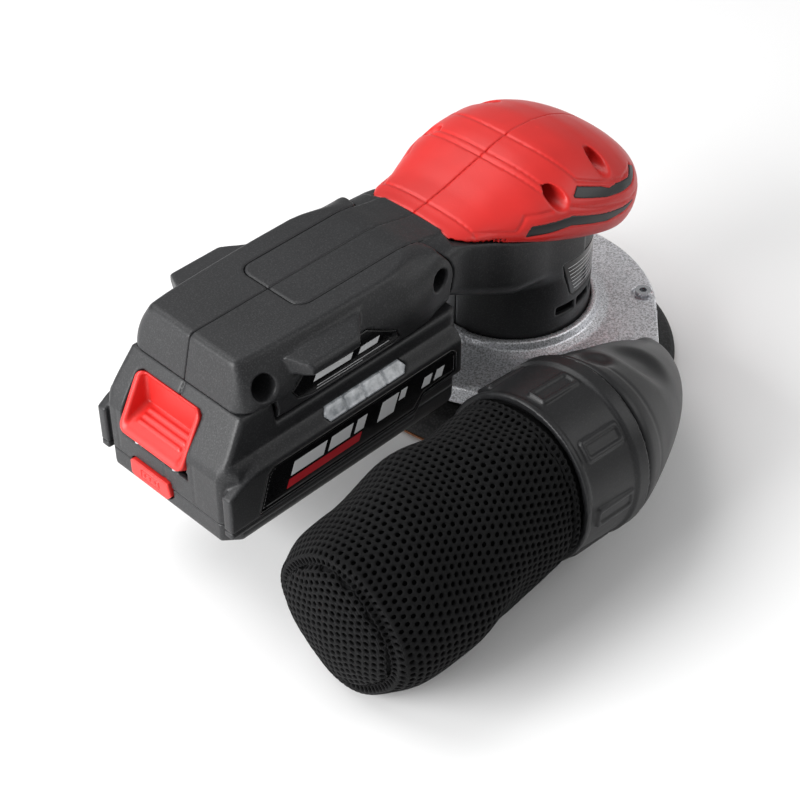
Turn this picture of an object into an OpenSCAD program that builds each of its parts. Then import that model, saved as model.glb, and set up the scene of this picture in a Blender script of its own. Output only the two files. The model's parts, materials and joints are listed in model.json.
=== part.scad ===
// Cordless random-orbit palm sander with a slide-on battery, a round 150 mm pad and a dust bag.
// Millimetres. +X points forward (battery towards head), +Y to the left, +Z up.
// The origin is on the motor axis, on the working face of the abrasive disc.

/* [Pad and disc] */
// Diameter of the abrasive disc and the pad
pad_d = 150; // [140:1:155]
// Thickness of the abrasive disc
disc_t = 1; // [0.8:0.1:1.4]
// Thickness of the hook layer on the pad
hook_t = 1.2; // [1:0.1:1.6]
// Thickness of the foam pad above the hook layer
foam_t = 10.8; // [9.6:0.2:11.2]
// Number of dust holes through the pad
dust_holes = 6; // [5:1:8]
// Diameter of each dust hole
dust_hole_d = 10; // [6:1:12]
// Radius of the circle that the dust holes lie on
dust_hole_pcr = 42; // [38:1:46]
// Offset between the motor axis and the pad axis
orbit = 1.25; // [1:0.25:1.5]

/* [Motor and cover] */
// Outer radius of the cast cover
cover_r = 65.6; // [64:0.2:67]
// Height of the cover's flat top above the working face
cover_top = 30; // [29.6:0.2:30.4]
// Outer radius of the round neck around the motor
neck_r = 35.4; // [35:0.2:36]
// Radius of the dust spigot
spigot_r = 9; // [8.5:0.5:9.5]
// Height of the dust spigot's centre
spigot_z = 26; // [25.5:0.5:26.5]

/* [Handle and head] */
// Height of the flat top of the handle
handle_top = 112; // [111:0.5:113]
// Largest half width of the handle
handle_half_w = 36; // [35:0.5:37]
// Wall thickness of the plastic shells
wall = 2.6; // [2.2:0.1:3]

/* [Battery] */
// Width of the battery pack
battery_w = 79; // [76:1:79]
// Height of the battery's underside above the working face
battery_bottom = 38; // [37:0.5:39]
// Diameter of one cell
cell_d = 18.4; // [18:0.1:18.6]
// Length of one cell
cell_len = 65; // [64:0.5:66]

/* [Dust bag] */
// Outer radius of the twist collar
collar_r = 37.4; // [37:0.1:37.6]
// Length of the twist collar along its axis
collar_len = 36; // [35:0.5:37]
// Thickness of the bag's fabric
bag_t = 2.4; // [2:0.2:3]

/* [Hidden] */
$fn = 64;

red = [0.86, 0.19, 0.17];
dark = [0.23, 0.23, 0.25];
black = [0.09, 0.09, 0.10];
silver = [0.74, 0.75, 0.77];
steel = [0.62, 0.63, 0.66];
copper = [0.78, 0.45, 0.24];

pad_r = pad_d / 2;
foam_base = disc_t + hook_t;
plate_base = foam_base + foam_t;
neck_bottom = cover_top + 1.2;
parting_z = 83.5;
parting_angle = atan(0.345);
handle_split_x = -68;
handle_rear_x = -184.3;
tongue_half_w = 17.4;
tongue_rear_x = -140.5;
head_rear_x = -62;
button_z = 65;
dial_pos = [-50, 20.6, 86];

bearing_lower_z = 33.6;
bearing_upper_z = 80;
spigot_x = 3;
elbow_start = [spigot_x, -67, 27];
elbow_end = [-64, -93.6, 43.6];
elbow_start_r = 17;
elbow_start_squash = 0.78;
elbow_end_r = 37.6;
bag_pitch = 5.3;

battery_half_w = battery_w / 2;
battery_rear_x = -198.5;
battery_front_x = -70;
battery_seam_z = battery_bottom + 9.8;
battery_deck_z = 82;
battery_hump_z = 92;
latch_y = 5;
cell_count = 5;
cell_pitch = cell_d + 0.3;
cell_first_x = -168;

// ---------- shared shapes ----------

function unit(v) = v / norm(v);

// Points of a circle around a centre, at right angles to a direction.
function ring(centre, direction, r, n, squash = 1) =
    let (
        side = unit(cross(direction, [0, 0, 1])),
        up = unit(cross(side, direction))
    )
    [
        for (i = [0:n - 1])
            centre + r * (cos(360 * i / n) * side + squash * sin(360 * i / n) * up)
    ];

// Closed skin through a list of rings that all have the same number of points.
module skin(rings, joined = false) {
    n = len(rings[0]);
    m = len(rings);
    last = joined ? m - 1 : m - 2;
    sides = [
        for (j = [0:last], i = [0:n - 1])
            let (a = j * n + i, b = j * n + (i + 1) % n, next = ((j + 1) % m) * n)
                for (tri = [[a, b, next + (i + 1) % n], [a, next + (i + 1) % n, next + i]]) tri
    ];
    caps = joined ? [] : [[for (i = [n - 1:-1:0]) i], [for (i = [0:n - 1]) (m - 1) * n + i]];
    polyhedron(points = [for (r = rings) each r], faces = concat(sides, caps), convexity = 6);
}

// Extrudes an outline drawn in x and z across the full width.
module across_y(half_w) {
    translate([0, half_w, 0]) rotate([90, 0, 0]) linear_extrude(2 * half_w) children();
}

// Extrudes an outline drawn in y and z from one x to another.
module along_x(from, to) {
    translate([from, 0, 0]) rotate([90, 0, 90]) linear_extrude(to - from) children();
}

// The right half (side = -1) or the left half (side = 1) of its children.
module half(side) {
    intersection() {
        children();
        translate([-300, side > 0 ? 0 : -300, -100]) cube([600, 300, 400]);
    }
}

// A straight cylinder along +Y from y0 to y1.
module rod_y(x, z, r, y0, y1) {
    translate([x, y0, z]) rotate([-90, 0, 0]) cylinder(h = y1 - y0, r = r);
}

// A flat ring or tube standing on z.
module tube(z, h, r_out, r_in) {
    translate([0, 0, z]) difference() {
        cylinder(h = h, r = r_out);
        translate([0, 0, -1]) cylinder(h = h + 2, r = r_in);
    }
}

// Everything below the sloping joint between the black housing and the red head.
module below_parting(lift) {
    translate([0, 0, parting_z + lift]) rotate([0, parting_angle, 0])
        translate([-250, -100, -200]) cube([400, 200, 200]);
    translate([-250, -100, 0]) cube([250 + head_rear_x - 0.1, 200, 200]);
}

// ---------- handle ----------

function shoulder(half_flat, half_w, z_top, z_side) = [
    for (i = [0:6]) [half_flat + (half_w - half_flat) * sin(15 * i), z_side + (z_top - z_side) * cos(15 * i)]
];

function mirrored(pts) = concat(pts, [for (i = [len(pts) - 1:-1:0]) [-pts[i][0], pts[i][1]]]);

function handle_section(inset) = mirrored(concat(
    shoulder(16 - inset / 2, handle_half_w - inset, handle_top - inset, 93.5),
    [[handle_half_w - inset, 89], [handle_half_w - 2.5 - inset, inset > 0 ? 70 : 83.5]]
));

function handle_side(inset) = [
    [handle_rear_x + inset, battery_hump_z + 0.3 - (inset > 0 ? 12 : 0)],
    [-180.2 + inset, 108.5 - inset / 2],
    [-177 + inset / 2, handle_top - inset],
    [-84, handle_top - inset],
    [-74, 109.3 - inset],
    [-63, 107.3 - inset],
    [-20, 107.3 - inset],
    [-20, inset > 0 ? 60 : 80],
    [handle_split_x, inset > 0 ? 60 : 80],
    [-80, inset > 0 ? 60 : 83.5],
    [-168, inset > 0 ? 60 : 83.5],
    [-168, inset > 0 ? 80 : battery_hump_z + 0.3]
];

function mirrored_plan(pts) = concat(pts, [for (i = [len(pts) - 1:-1:0]) [pts[i][0], -pts[i][1]]]);

function handle_plan(inset) = mirrored_plan([
    [handle_rear_x - 1 + inset, 27.5 - inset],
    [-181, 31.4 - inset],
    [-176, 33.4 - inset],
    [-160, 34.6 - inset],
    [-118, handle_half_w - inset],
    [-100, handle_half_w - inset],
    [-88, 33.8 - inset],
    [-76, 30.4 - inset],
    [-62, 28 - inset],
    [-50, 29.4 - inset],
    [-36, 33 - inset],
    [-18, neck_r - inset],
    [5, neck_r - inset]
]);

module handle_block(inset) {
    intersection() {
        across_y(60) polygon(handle_side(inset));
        along_x(-190, 10) polygon(handle_section(inset));
        translate([0, 0, 40]) linear_extrude(90) polygon(handle_plan(inset));
    }
}

// The strip of the handle's top that belongs to the motor housing, as a region to cut or keep.
module tongue_region(gap) {
    translate([0, 0, 96]) linear_extrude(30) {
        translate([tongue_rear_x + 6, 0])
            for (side = [-1, 1]) translate([0, side * (tongue_half_w - 6)]) circle(r = 6 + gap);
        translate([tongue_rear_x + 6, -tongue_half_w - gap])
            square([handle_split_x - tongue_rear_x - 4.5, 2 * tongue_half_w + 2 * gap]);
        translate([tongue_rear_x - gap, 6 - tongue_half_w])
            square([7, 2 * tongue_half_w - 12]);
    }
}

handle_screw_places = [[-172, 100], [-78, 98]];

module screw_boss(x, z, side, reach) {
    if (side < 0) {
        difference() {
            rod_y(x, z, 4.6, -reach, -0.1);
            rod_y(x, z, 3.5, -reach - 1, -14);
            rod_y(x, z, 1.8, -20, 1);
        }
    } else {
        difference() {
            rod_y(x, z, 4.6, 0.1, reach);
            rod_y(x, z, 1.72, -1, 19);
        }
    }
}

function wing_plan(side) = [
    [-161, side * 32], [-155, side * 41.2], [-128, side * 41.2], [-121, side * 32]
];

// The finger ledge that stands out over the side label.
module wing(side) {
    section = [[32, 107.4], [39.6, 105.4], [41, 104], [40.4, 101.6], [34, 99.4], [32, 99.4]];
    intersection() {
        along_x(-162, -120) polygon([for (p = section) [side * p[0], p[1]]]);
        translate([0, 0, 90]) linear_extrude(30) polygon(wing_plan(side));
    }
}

module handle_shell(side) {
    half(side) {
        difference() {
            union() {
                difference() {
                    handle_block(0);
                    handle_block(wall);
                }
                wing(side);
            }
            tongue_region(0.15);
            translate([handle_split_x - 0.1, -60, 40]) cube([120, 120, 100]);
            translate([-151, side > 0 ? 34.4 : -44.4, 84.6]) cube([41, 10, 14.4]);
            for (p = handle_screw_places) if (side < 0) rod_y(p[0], p[1], 3.5, -60, -14);
        }
        for (p = handle_screw_places) screw_boss(p[0], p[1], side, p[0] < -150 ? 31 : 30);
        // rail that carries the battery's lip
        translate([-164, side > 0 ? 23 : -33.4, 83.8]) cube([80, 10.4, 2]);
    }
}

module handle_right() { color(dark) handle_shell(-1); }
module handle_left() { color(dark) handle_shell(1); }

module side_label(side) {
    translate([-149, side > 0 ? 34.42 : -35.22, 85.4]) cube([37, 0.8, 11.2]);
}

module side_label_right() { color(black) side_label(-1); }
module side_label_left() { color(black) side_label(1); }

module handle_screws() {
    color(steel) for (p = handle_screw_places) {
        rod_y(p[0], p[1], 1.7, -15, 16);
        rod_y(p[0], p[1], 3.3, -16.4, -14.03);
    }
}

// ---------- motor housing ----------

function front_side(inset) = [
    [handle_split_x + 0.05, 79.5 + inset],
    [handle_split_x + 0.05, 108.2 - inset],
    [-62, 107.2 - inset],
    [5, 107.2 - inset],
    [5, 55 + inset],
    [-33, 60 + inset],
    [-46, 66 + inset],
    [-58, 72 + inset]
];

function front_section(inset) = mirrored(concat(
    shoulder(14 - inset / 2, neck_r - inset, 108.2 - inset, 92),
    [[neck_r - inset, 76], [22, 56]]
));

module front_block(inset) {
    intersection() {
        across_y(60) polygon(front_side(inset));
        along_x(-80, 10) polygon(front_section(inset));
        translate([0, 0, 40]) linear_extrude(90) polygon(handle_plan(inset));
    }
}

vent_angles = [-96, -76, -56, -36, 36, 56, 76, 96];

module vents() {
    for (a = vent_angles) rotate([0, 0, a]) translate([28, -4.6, 43]) cube([10, 9.2, 4]);
}

module motor_housing_shell(side) {
    half(side) {
        difference() {
            union() {
                intersection() {
                    union() {
                        front_block(0);
                        translate([0, 0, neck_bottom]) cylinder(h = 80, r = neck_r);
                    }
                    below_parting(0);
                }
                intersection() {
                    difference() {
                        handle_block(0);
                        handle_block(wall);
                    }
                    tongue_region(0);
                }
                // ribs that hold the motor's sleeve
                for (a = [45:90:359]) rotate([0, 0, a]) translate([27.62, -1.2, 50]) cube([6.4, 2.4, 24]);
            }
            translate([-1, 0, 0]) front_block(wall);
            difference() {
                translate([0, 0, neck_bottom - 1]) cylinder(h = 100, r = neck_r - wall);
                for (a = [45:90:359]) rotate([0, 0, a]) translate([27.62, -1.2, 50]) cube([8, 2.4, 24]);
            }
            vents();
            // window for the power button
            translate([20, -14.3, button_z - 8.3]) cube([30, 28.6, 16.6]);
            // slot for the speed dial
            translate([dial_pos[0], dial_pos[1], dial_pos[2] - 3.4]) cylinder(h = 6.8, r = 13);
            // shallow seat for the rating plate
            rating_arc(neck_r - 0.8, neck_r + 2, 0.2);
        }
    }
}

module motor_housing_right() { color(dark) motor_housing_shell(-1); }
module motor_housing_left() { color(dark) motor_housing_shell(1); }

module rating_arc(r_in, r_out, grow) {
    rotate([0, 0, -98 - grow]) translate([0, 0, 51 - grow])
        rotate_extrude(angle = 52 + 2 * grow, $fn = 96)
            translate([r_in, 0]) square([r_out - r_in, 19 + 2 * grow]);
}

module rating_plate() { color(black) rating_arc(neck_r - 0.7, neck_r + 0.2, 0); }

// ---------- red palm head ----------

// Columns: x, top, lift of the lower edge over the joint, half width there, largest half width,
// height of that widest point
head_rows = [
    [head_rear_x, 107.3, 0.12, 22.6, 22.8, 105.3],
    [-57, 108.1, 0.12, 26, 26.3, 103.8],
    [-45, 110.4, 0.12, 30, 30.6, 100.8],
    [-34, 113.2, 0.12, 33.4, 35.8, 98.6],
    [-23, 116, 0.12, 35.2, 41, 96.6],
    [-12, 118.8, 0.12, 36.2, 43.8, 94.4],
    [-2, 120, 0.12, 36.6, 45.4, 92.6],
    [8, 119.4, 0.12, 36.4, 46, 91.2],
    [18, 117.2, 0.12, 35, 45.2, 90],
    [28, 113.4, 1.2, 31, 42.4, 89.4],
    [36, 109, 3.4, 24.6, 38, 89],
    [43, 103.8, 7.8, 16.4, 31.6, 88.6],
    [49, 97.6, 12.2, 9.6, 23.4, 87.8],
    [53, 92, 16.4, 5, 14.8, 87],
    [55, 88.8, 19.4, 2.4, 8, 86.2]
];
head_lower_steps = 4;
head_upper_steps = 9;

function head_arc(row, inset) =
    let (
        top = row[1] - inset,
        low = parting_z - row[0] * tan(parting_angle) + row[2] + (row[0] > 40 ? inset : 0),
        mid = row[5],
        wide = max(row[4] - inset, 1),
        edge = max(row[3] - inset, 0.6)
    )
    concat(
        [for (i = [0:head_lower_steps])
            let (a = 90 * i / head_lower_steps)
            [edge + (wide - edge) * sin(a), mid - (mid - low) * cos(a)]],
        [for (i = [1:head_upper_steps])
            let (a = 90 * i / head_upper_steps)
            [wide * pow(cos(a), 0.92), mid + (top - mid) * pow(sin(a), 0.92)]]
    );

// Closed outline of one half shell at a station: out along the outside, back along the inside.
function head_loop(row, side) =
    let (
        outer = head_arc(row, 0),
        inner = head_arc(row, min(wall, row[4] * 0.3)),
        n = len(outer),
        pts = concat(outer, [for (i = [n - 1:-1:0]) inner[i]])
    )
    [for (p = pts) [row[0], side * p[0], p[1]]];

function reversed(list) = [for (i = [len(list) - 1:-1:0]) list[i]];

module head_shell(side) {
    loops = [for (row = head_rows) side > 0 ? head_loop(row, 1) : reversed(head_loop(row, -1))];
    difference() {
        skin(reversed(loops));
        for (p = head_screw_places) if (side < 0) rod_y(p[0], p[1], 3.5, -60, -14);
    }
    for (p = head_screw_places) screw_boss(p[0], p[1], side, p[2]);
}

// x, z and reach of each head screw
head_screw_places = [[-20, 106, 32], [8, 108, 32]];

module head_right() { color(red) head_shell(-1); }
module head_left() { color(red) head_shell(1); }

module head_screws() {
    color(steel) for (p = head_screw_places) {
        rod_y(p[0], p[1], 1.7, -15, 16);
        rod_y(p[0], p[1], 3.3, -16.4, -14.03);
    }
}

// ---------- controls ----------

module power_button() {
    color(red) difference() {
        intersection() {
            translate([29, -14, button_z - 8]) cube([12, 28, 16]);
            translate([0, 0, button_z - 10]) cylinder(h = 20, r = neck_r + 3);
        }
        translate([0, 0, button_z - 10]) cylinder(h = 20, r = neck_r - 2);
    }
}

module switch_module() {
    color(black) translate([27.9, -6, button_z - 6]) cube([3.3, 12, 12]);
}

module speed_dial() {
    color(dark) translate(dial_pos) difference() {
        union() {
            translate([0, 0, -3]) cylinder(h = 6, r = 12);
            for (a = [0:12:359]) rotate([0, 0, a]) translate([11.8, -0.5, -3]) cube([0.7, 1, 6]);
        }
        translate([0, 0, -4]) cylinder(h = 8, r = 2);
    }
}

module dial_sensor() {
    color("darkgreen") translate([dial_pos[0], dial_pos[1], dial_pos[2]]) {
        cylinder(h = 7, r = 1.9, center = true);
        translate([-7, -8, -6.2]) cube([14, 12.6, 1.6]);
        translate([-5, -5, -4.6]) cube([10, 10, 1.2]);
    }
}

module controller_board() {
    color("darkgreen") {
        translate([-37, -24, 76]) cube([1.6, 38, 22]);
        for (y = [-20, -10, 0]) translate([-39.6, y, 80]) cube([2.6, 7, 9]);
        translate([-47, -19, 90]) rotate([0, 90, 0]) cylinder(h = 10.5, r = 4);
    }
}

module terminal_block() {
    color(black) {
        translate([-93, -18, 84]) cube([14, 36, 9]);
        for (y = [-14, -6, 6, 14]) translate([-104, y - 0.4, 85.2]) cube([11, 0.8, 3.4]);
    }
}

wire_route = [
    [-78.95, 5, 91], [-74, 5, 92], [-66, 4, 92.5], [-58, 2, 92], [-50, 0, 91], [-41, -1, 89]
];

module power_wires() {
    color(red) for (shift = [-6, 0, 6])
        skin([for (i = [0:len(wire_route) - 1])
            let (
                here = wire_route[i],
                next = wire_route[min(i + 1, len(wire_route) - 1)],
                before = wire_route[max(i - 1, 0)]
            )
            ring(here + [0, shift, 0], next - before, 1.4, 8)]);
}

// ---------- motor ----------

module motor_sleeve() {
    color(silver) {
        tube(46, 32, 27.6, 25.6);
        tube(78, 2, 27.6, 4.6);
        tube(80, 7, 13.2, 11.02);
    }
}

module stator_core() {
    color(steel) difference() {
        translate([0, 0, 51]) cylinder(h = 18, r = 25.5);
        translate([0, 0, 50]) cylinder(h = 20, r = 14);
        for (a = [0:60:359]) rotate([0, 0, a]) translate([18, 0, 50]) cylinder(h = 20, r = 3.6);
    }
}

module stator_windings() {
    color(copper) {
        tube(46.6, 4.3, 23.4, 15);
        tube(69.1, 4.3, 23.4, 15);
        for (a = [0:60:359]) rotate([0, 0, a]) translate([18.3, 0, 50]) cylinder(h = 20, r = 2.8);
    }
}

module upper_bearing() { color(steel) bearing(bearing_upper_z, 7, 11, 4); }
module lower_bearing() { color(steel) bearing(bearing_lower_z, 8, 14, 6); }

module bearing(z, h, r_out, r_in) {
    tube(z, h, r_out, r_out - 2.2);
    tube(z, h, r_in + 2, r_in + 0.02);
    tube(z + 0.6, h - 1.2, r_out - 2.2, r_in + 2);
}

module rotor_core() { color(steel) tube(52, 16, 11, 4.02); }

module rotor_magnets() {
    color(silver) difference() {
        tube(52, 16, 13.4, 11.02);
        for (a = [0:45:359]) rotate([0, 0, a]) translate([10, -0.2, 50]) cube([5, 0.4, 20]);
    }
}

module motor_shaft() {
    color(steel) {
        translate([0, 0, 28]) cylinder(h = 14, r = 5.98);
        translate([0, 0, 41]) cylinder(h = 46.6, r = 3.98);
    }
}

module cooling_fan() {
    color(black) {
        tube(44.4, 1.2, 22, 4.02);
        tube(42.6, 2.4, 7, 4.02);
        for (a = [0:30:359]) rotate([0, 0, a]) translate([9, -0.6, 42.5]) cube([12.8, 1.2, 2.4]);
    }
}

module counterweight() {
    color(silver) difference() {
        union() {
            translate([0, 0, 18.5]) cylinder(h = 14, r = 17.4);
            translate([0, 0, 18.5]) cylinder(h = 1.6, r = 48);
            for (a = [0:24:359]) rotate([0, 0, a]) translate([24, -0.7, 20]) cube([22, 1.4, 5.6]);
            // lobe that balances the pad
            intersection() {
                tube(20, 5.4, 34, 16);
                translate([-60, -22, 15]) cube([50, 44, 20]);
            }
        }
        translate([orbit, 0, 17]) cylinder(h = 10.2, r = 14.02);
        translate([0, 0, 17]) cylinder(h = 30, r = 6.02);
    }
}

// ---------- cast cover ----------

function arc_points(cx, cy, r, from, to, steps) = [
    for (i = [0:steps]) let (a = from + (to - from) * i / steps) [cx + r * cos(a), cy + r * sin(a)]
];

module cover_turned() {
    rotate_extrude($fn = 128) polygon(concat(
        [[20.6, cover_top - 3], [cover_r - 2.6, cover_top - 3], [cover_r - 2.6, cover_top - 10.4]],
        [[cover_r, cover_top - 10.4]],
        arc_points(cover_r - 1.4, cover_top - 1.4, 1.4, 0, 90, 4),
        arc_points(44, cover_top + 5.6, 5.6, 270, 188, 6),
        [[36, cover_top + 5], [36, cover_top + 0.6], [20.6, cover_top + 0.6]]
    ));
    // bearing seat
    tube(cover_top - 3, 15, 20.6, 14.02);
}

module cast_cover() {
    color(silver) difference() {
        union() {
            difference() {
                cover_turned();
                translate([0, 0, 20]) cylinder(h = 13.4, r = 18.6);
            }
            // straight-sided outlet that leaves along a tangent
            difference() {
                translate([0, 0, cover_top - 15.4]) linear_extrude(15.4) polygon(outlet_plan);
                translate([0, 0, cover_top - 30]) cylinder(h = 60, r = cover_r - 1);
                rod_y(spigot_x, elbow_start[2], elbow_start_r + 0.8, -100, elbow_start[1] + 0.6);
            }
            difference() {
                rod_y(spigot_x, spigot_z, spigot_r, -80, -64);
                cylinder(h = 60, r = cover_r - 1);
            }
            // web under the handle
            along_x(-64, -36) polygon([[-9, cover_top - 0.5], [9, cover_top - 0.5], [6, 35], [-6, 35]]);
        }
        // passage from the fan chamber into the spigot
        rod_y(spigot_x, spigot_z, spigot_r - 2.2, -100, -67.4);
        intersection() {
            rod_y(spigot_x, spigot_z, spigot_r - 2.2, -70, -60);
            translate([-50, -100, 0]) cube([100, 100, cover_top - 2.8]);
        }
        for (a = cover_screw_angles) rotate([0, 0, a]) {
            translate([cover_screw_r, 0, 20]) cylinder(h = 20, r = 2.3);
            translate([cover_screw_r, 0, cover_top - 1.6]) cylinder(h = 10, r = 5);
        }
    }
}

outlet_plan = [
    [40.1, -52], [20, -69.6], [19, -69.6], [19, -66.4], [-11, -66.4], [-15, -60], [10, -50]
];
cover_screw_angles = [-42.5, 47.5, 137.5, 227.5];
cover_screw_r = 60;

module cover_screws() {
    color(steel) for (a = cover_screw_angles) rotate([0, 0, a]) translate([cover_screw_r, 0, 0])
        difference() {
            union() {
                translate([0, 0, 24.4]) cylinder(h = 4.2, r = 2.1);
                translate([0, 0, 28.42]) cylinder(h = 3.4, r = 3.6);
            }
            translate([0, 0, 29.6]) cylinder(h = 4, r = 1.8, $fn = 6);
        }
}

module brake_skirt() {
    color(black) difference() {
        union() {
            tube(14.4, 12.4, 57.6, 55.6);
            tube(25, 1.9, 62.8, 55.6);
        }
        for (a = cover_screw_angles) rotate([0, 0, a]) translate([cover_screw_r, 0, 24])
            cylinder(h = 4, r = 2.2);
    }
}

// ---------- pad ----------

module pad_holes(z, h) {
    for (i = [0:dust_holes - 1]) rotate([0, 0, i * 360 / dust_holes])
        translate([dust_hole_pcr, 0, z]) cylinder(h = h, r = dust_hole_d / 2);
}

module on_pad() { translate([orbit, 0, 0]) children(); }

module abrasive_disc() {
    color("saddlebrown") on_pad() difference() {
        cylinder(h = disc_t, r = pad_r, $fn = 128);
        pad_holes(-1, 4);
    }
}

module hook_layer() {
    color(black) on_pad() difference() {
        translate([0, 0, disc_t]) cylinder(h = hook_t, r = pad_r - 0.6, $fn = 128);
        pad_holes(0, 6);
        cylinder(h = 10, r = 9);
    }
}

module pad_foam() {
    color(dark) on_pad() difference() {
        rotate_extrude($fn = 128) polygon([
            [9, foam_base], [pad_r, foam_base], [pad_r, foam_base + 2.4], [pad_r - 2, foam_base + 5],
            [pad_r - 7, foam_base + 8.4], [pad_r - 14, foam_base + foam_t], [9, foam_base + foam_t]
        ]);
        pad_holes(0, 20);
    }
}

module pad_plate() {
    color(black) on_pad() difference() {
        rotate_extrude($fn = 96) polygon([
            [4.2, plate_base], [56, plate_base], [56, plate_base + 1.2],
            [40, plate_base + 3], [4.2, plate_base + 3]
        ]);
        pad_holes(0, 30);
    }
}

module pad_spindle() {
    color(steel) on_pad() {
        tube(plate_base + 3, 2, 16, 4.02);
        tube(plate_base + 5, 8.4, 5.98, 4.02);
    }
}

module pad_bearing() { color(steel) on_pad() bearing(18.6, 8, 13.98, 6); }

module pad_screw() {
    color(steel) on_pad() difference() {
        union() {
            translate([0, 0, plate_base - 4.4]) cylinder(h = 4.4, r = 7);
            translate([0, 0, plate_base - 0.2]) cylinder(h = 13, r = 3.98);
        }
        translate([0, 0, plate_base - 5]) cylinder(h = 3.4, r = 3, $fn = 6);
    }
}

// ---------- dust outlet, collar and bag ----------

elbow_steps = 9;

// Centre of the elbow's tube at t from 0 to 1, on a cubic curve.
function elbow_centre(t) =
    pow(1 - t, 3) * elbow_start
    + 3 * pow(1 - t, 2) * t * (elbow_start + [0, -22, 0])
    + 3 * (1 - t) * t * t * (elbow_end + 24 * [cos(bag_pitch), 0, -sin(bag_pitch)])
    + pow(t, 3) * elbow_end;

function elbow_direction(t) = t <= 0 ? [0, -1, 0]
    : t >= 1 ? [-cos(bag_pitch), 0, sin(bag_pitch)]
    : unit(elbow_centre(t + 0.01) - elbow_centre(t - 0.01));

function elbow_r(t) = elbow_start_r
    + (elbow_end_r - elbow_start_r) * (0.8 * pow(t, 1.5) + 0.2 * sin(90 * t));

function elbow_squash(t) = elbow_start_squash + (1 - elbow_start_squash) * min(1, 2 * t);

function elbow_ring(t, inset) =
    ring(elbow_centre(t), elbow_direction(t), elbow_r(t) - inset, 32,
        (elbow_r(t) * elbow_squash(t) - inset) / (elbow_r(t) - inset));

module dust_elbow() {
    outer = [for (i = [0:elbow_steps]) elbow_ring(i / elbow_steps, 0)];
    inner = [for (i = [elbow_steps:-1:0]) elbow_ring(i / elbow_steps, wall)];
    color(dark) skin(concat(outer, inner), joined = true);
}

// Gasket that fills the elbow's entry round the spigot.
module elbow_seal() {
    color(black) difference() {
        translate([spigot_x, elbow_start[1] - 0.5, elbow_start[2]]) rotate([90, 0, 0])
            scale([1, (elbow_start_r * elbow_start_squash - wall - 0.6) / (elbow_start_r - wall - 0.6), 1])
                cylinder(h = 1.5, r = elbow_start_r - wall - 0.6);
        rod_y(spigot_x, spigot_z, spigot_r + 0.02, -90, -60);
    }
}

// Places its children with +Z along the bag's axis and z = 0 at the elbow's mouth.
module on_bag_axis() {
    translate(elbow_end) rotate([0, -90 + bag_pitch, 0]) children();
}

module bag_collar() {
    color(dark) on_bag_axis() {
        rotate_extrude($fn = 96) polygon([
            [collar_r - 6.2, -3.6], [collar_r - 4.6, -3.6], [collar_r - 4.6, 0.8],
            [collar_r + 0.4, 0.8], [collar_r + 0.4, 7], [collar_r - 0.8, 8.4],
            [collar_r - 1.6, collar_len - 3], [collar_r - 1, collar_len - 2.2],
            [collar_r - 1, collar_len], [collar_r - 3.8, collar_len], [collar_r - 3.8, 8]
        ]);
        for (a = [0:45:359]) for (b = [-5, 5]) rotate([0, 0, a + b])
            translate([collar_r - 2.2, -0.9, 10]) cube([2, 1.8, collar_len - 15]);
    }
}

module bag_frame() {
    color(black) on_bag_axis() {
        tube(10, collar_len - 6, collar_r - 7.4, collar_r - 9);
        tube(collar_len - 5, 1.6, collar_r - 4.2, collar_r - 7.6);
    }
}

// Columns: x, height and sideways place of the centre, half width, half height, lean of the ring
bag_rows = [
    [-100.6, 47, -94, 33.6, 33.4, 5.3],
    [-108, 46.8, -94, 35, 34.8, 4],
    [-122, 46, -94, 36, 35.8, 2],
    [-138, 44.8, -93.8, 36.6, 36.8, 0],
    [-156, 42.4, -93.4, 37, 37.6, 0],
    [-172, 39.4, -92.8, 37, 37.8, 0],
    [-186, 36.6, -92.4, 35.4, 36, 0],
    [-195, 37.4, -92.4, 30, 29.4, 0],
    [-201, 40, -92.4, 21, 19.4, 0],
    [-203.4, 42, -92.4, 9, 8, 0]
];

function bag_ring(row, inset) =
    [for (i = [0:23])
        let (t = 15 * i, up = (row[4] - inset) * sin(t))
        [row[0] + up * tan(row[5]) + (inset > 0 && row[0] < -180 ? inset : 0),
         row[2] + (row[3] - inset) * cos(t), row[1] + up]];

module dust_bag() {
    outer = [for (row = bag_rows) bag_ring(row, 0)];
    inner = [for (row = bag_rows) bag_ring(row, bag_t)];
    color(black) skin(concat(reversed(outer), inner));
}

// ---------- battery ----------

function battery_side(inset) = [
    [battery_rear_x + inset, battery_bottom + inset],
    [battery_rear_x + inset, 70],
    [-184 + inset, battery_hump_z - inset],
    [-168 - inset, battery_hump_z - inset],
    [-168 - inset, battery_deck_z - inset],
    [battery_front_x - inset, battery_deck_z - inset],
    [battery_front_x - inset, 50],
    [battery_front_x - 8 - inset, battery_bottom + inset]
];

function battery_plan(inset) = mirrored_plan([
    [battery_rear_x + inset, battery_half_w - 8],
    [battery_rear_x + 7 + inset / 2, battery_half_w - 2 - inset],
    [battery_front_x - 7, battery_half_w - 2 - inset],
    [battery_front_x - inset, battery_half_w - 8]
]);

function battery_section(inset) = mirrored([
    [31.6 - inset, battery_hump_z + 1],
    [33.4 - inset, battery_deck_z],
    [battery_half_w - 3 - inset, 74],
    [battery_half_w - inset, 70],
    [battery_half_w - inset, battery_bottom + 3],
    [battery_half_w - 2.6 - inset, battery_bottom]
]);

// Side outline of the raised panels that carry the labels.
pod_side = [
    [battery_rear_x, battery_seam_z],
    [battery_rear_x, 64],
    [-194, 66.6],
    [-182, 73.6],
    [-176, 82],
    [battery_front_x - 3, 82],
    [battery_front_x - 3, 54],
    [battery_front_x - 26, 53],
    [battery_front_x - 31, battery_seam_z]
];

module pods() {
    intersection() {
        across_y(60) polygon(pod_side);
        along_x(-210, -60) polygon(battery_section(0));
        for (side = [-1, 1])
            translate([-220, side > 0 ? 34 : -44, 0]) cube([200, 10, 100]);
    }
}

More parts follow.
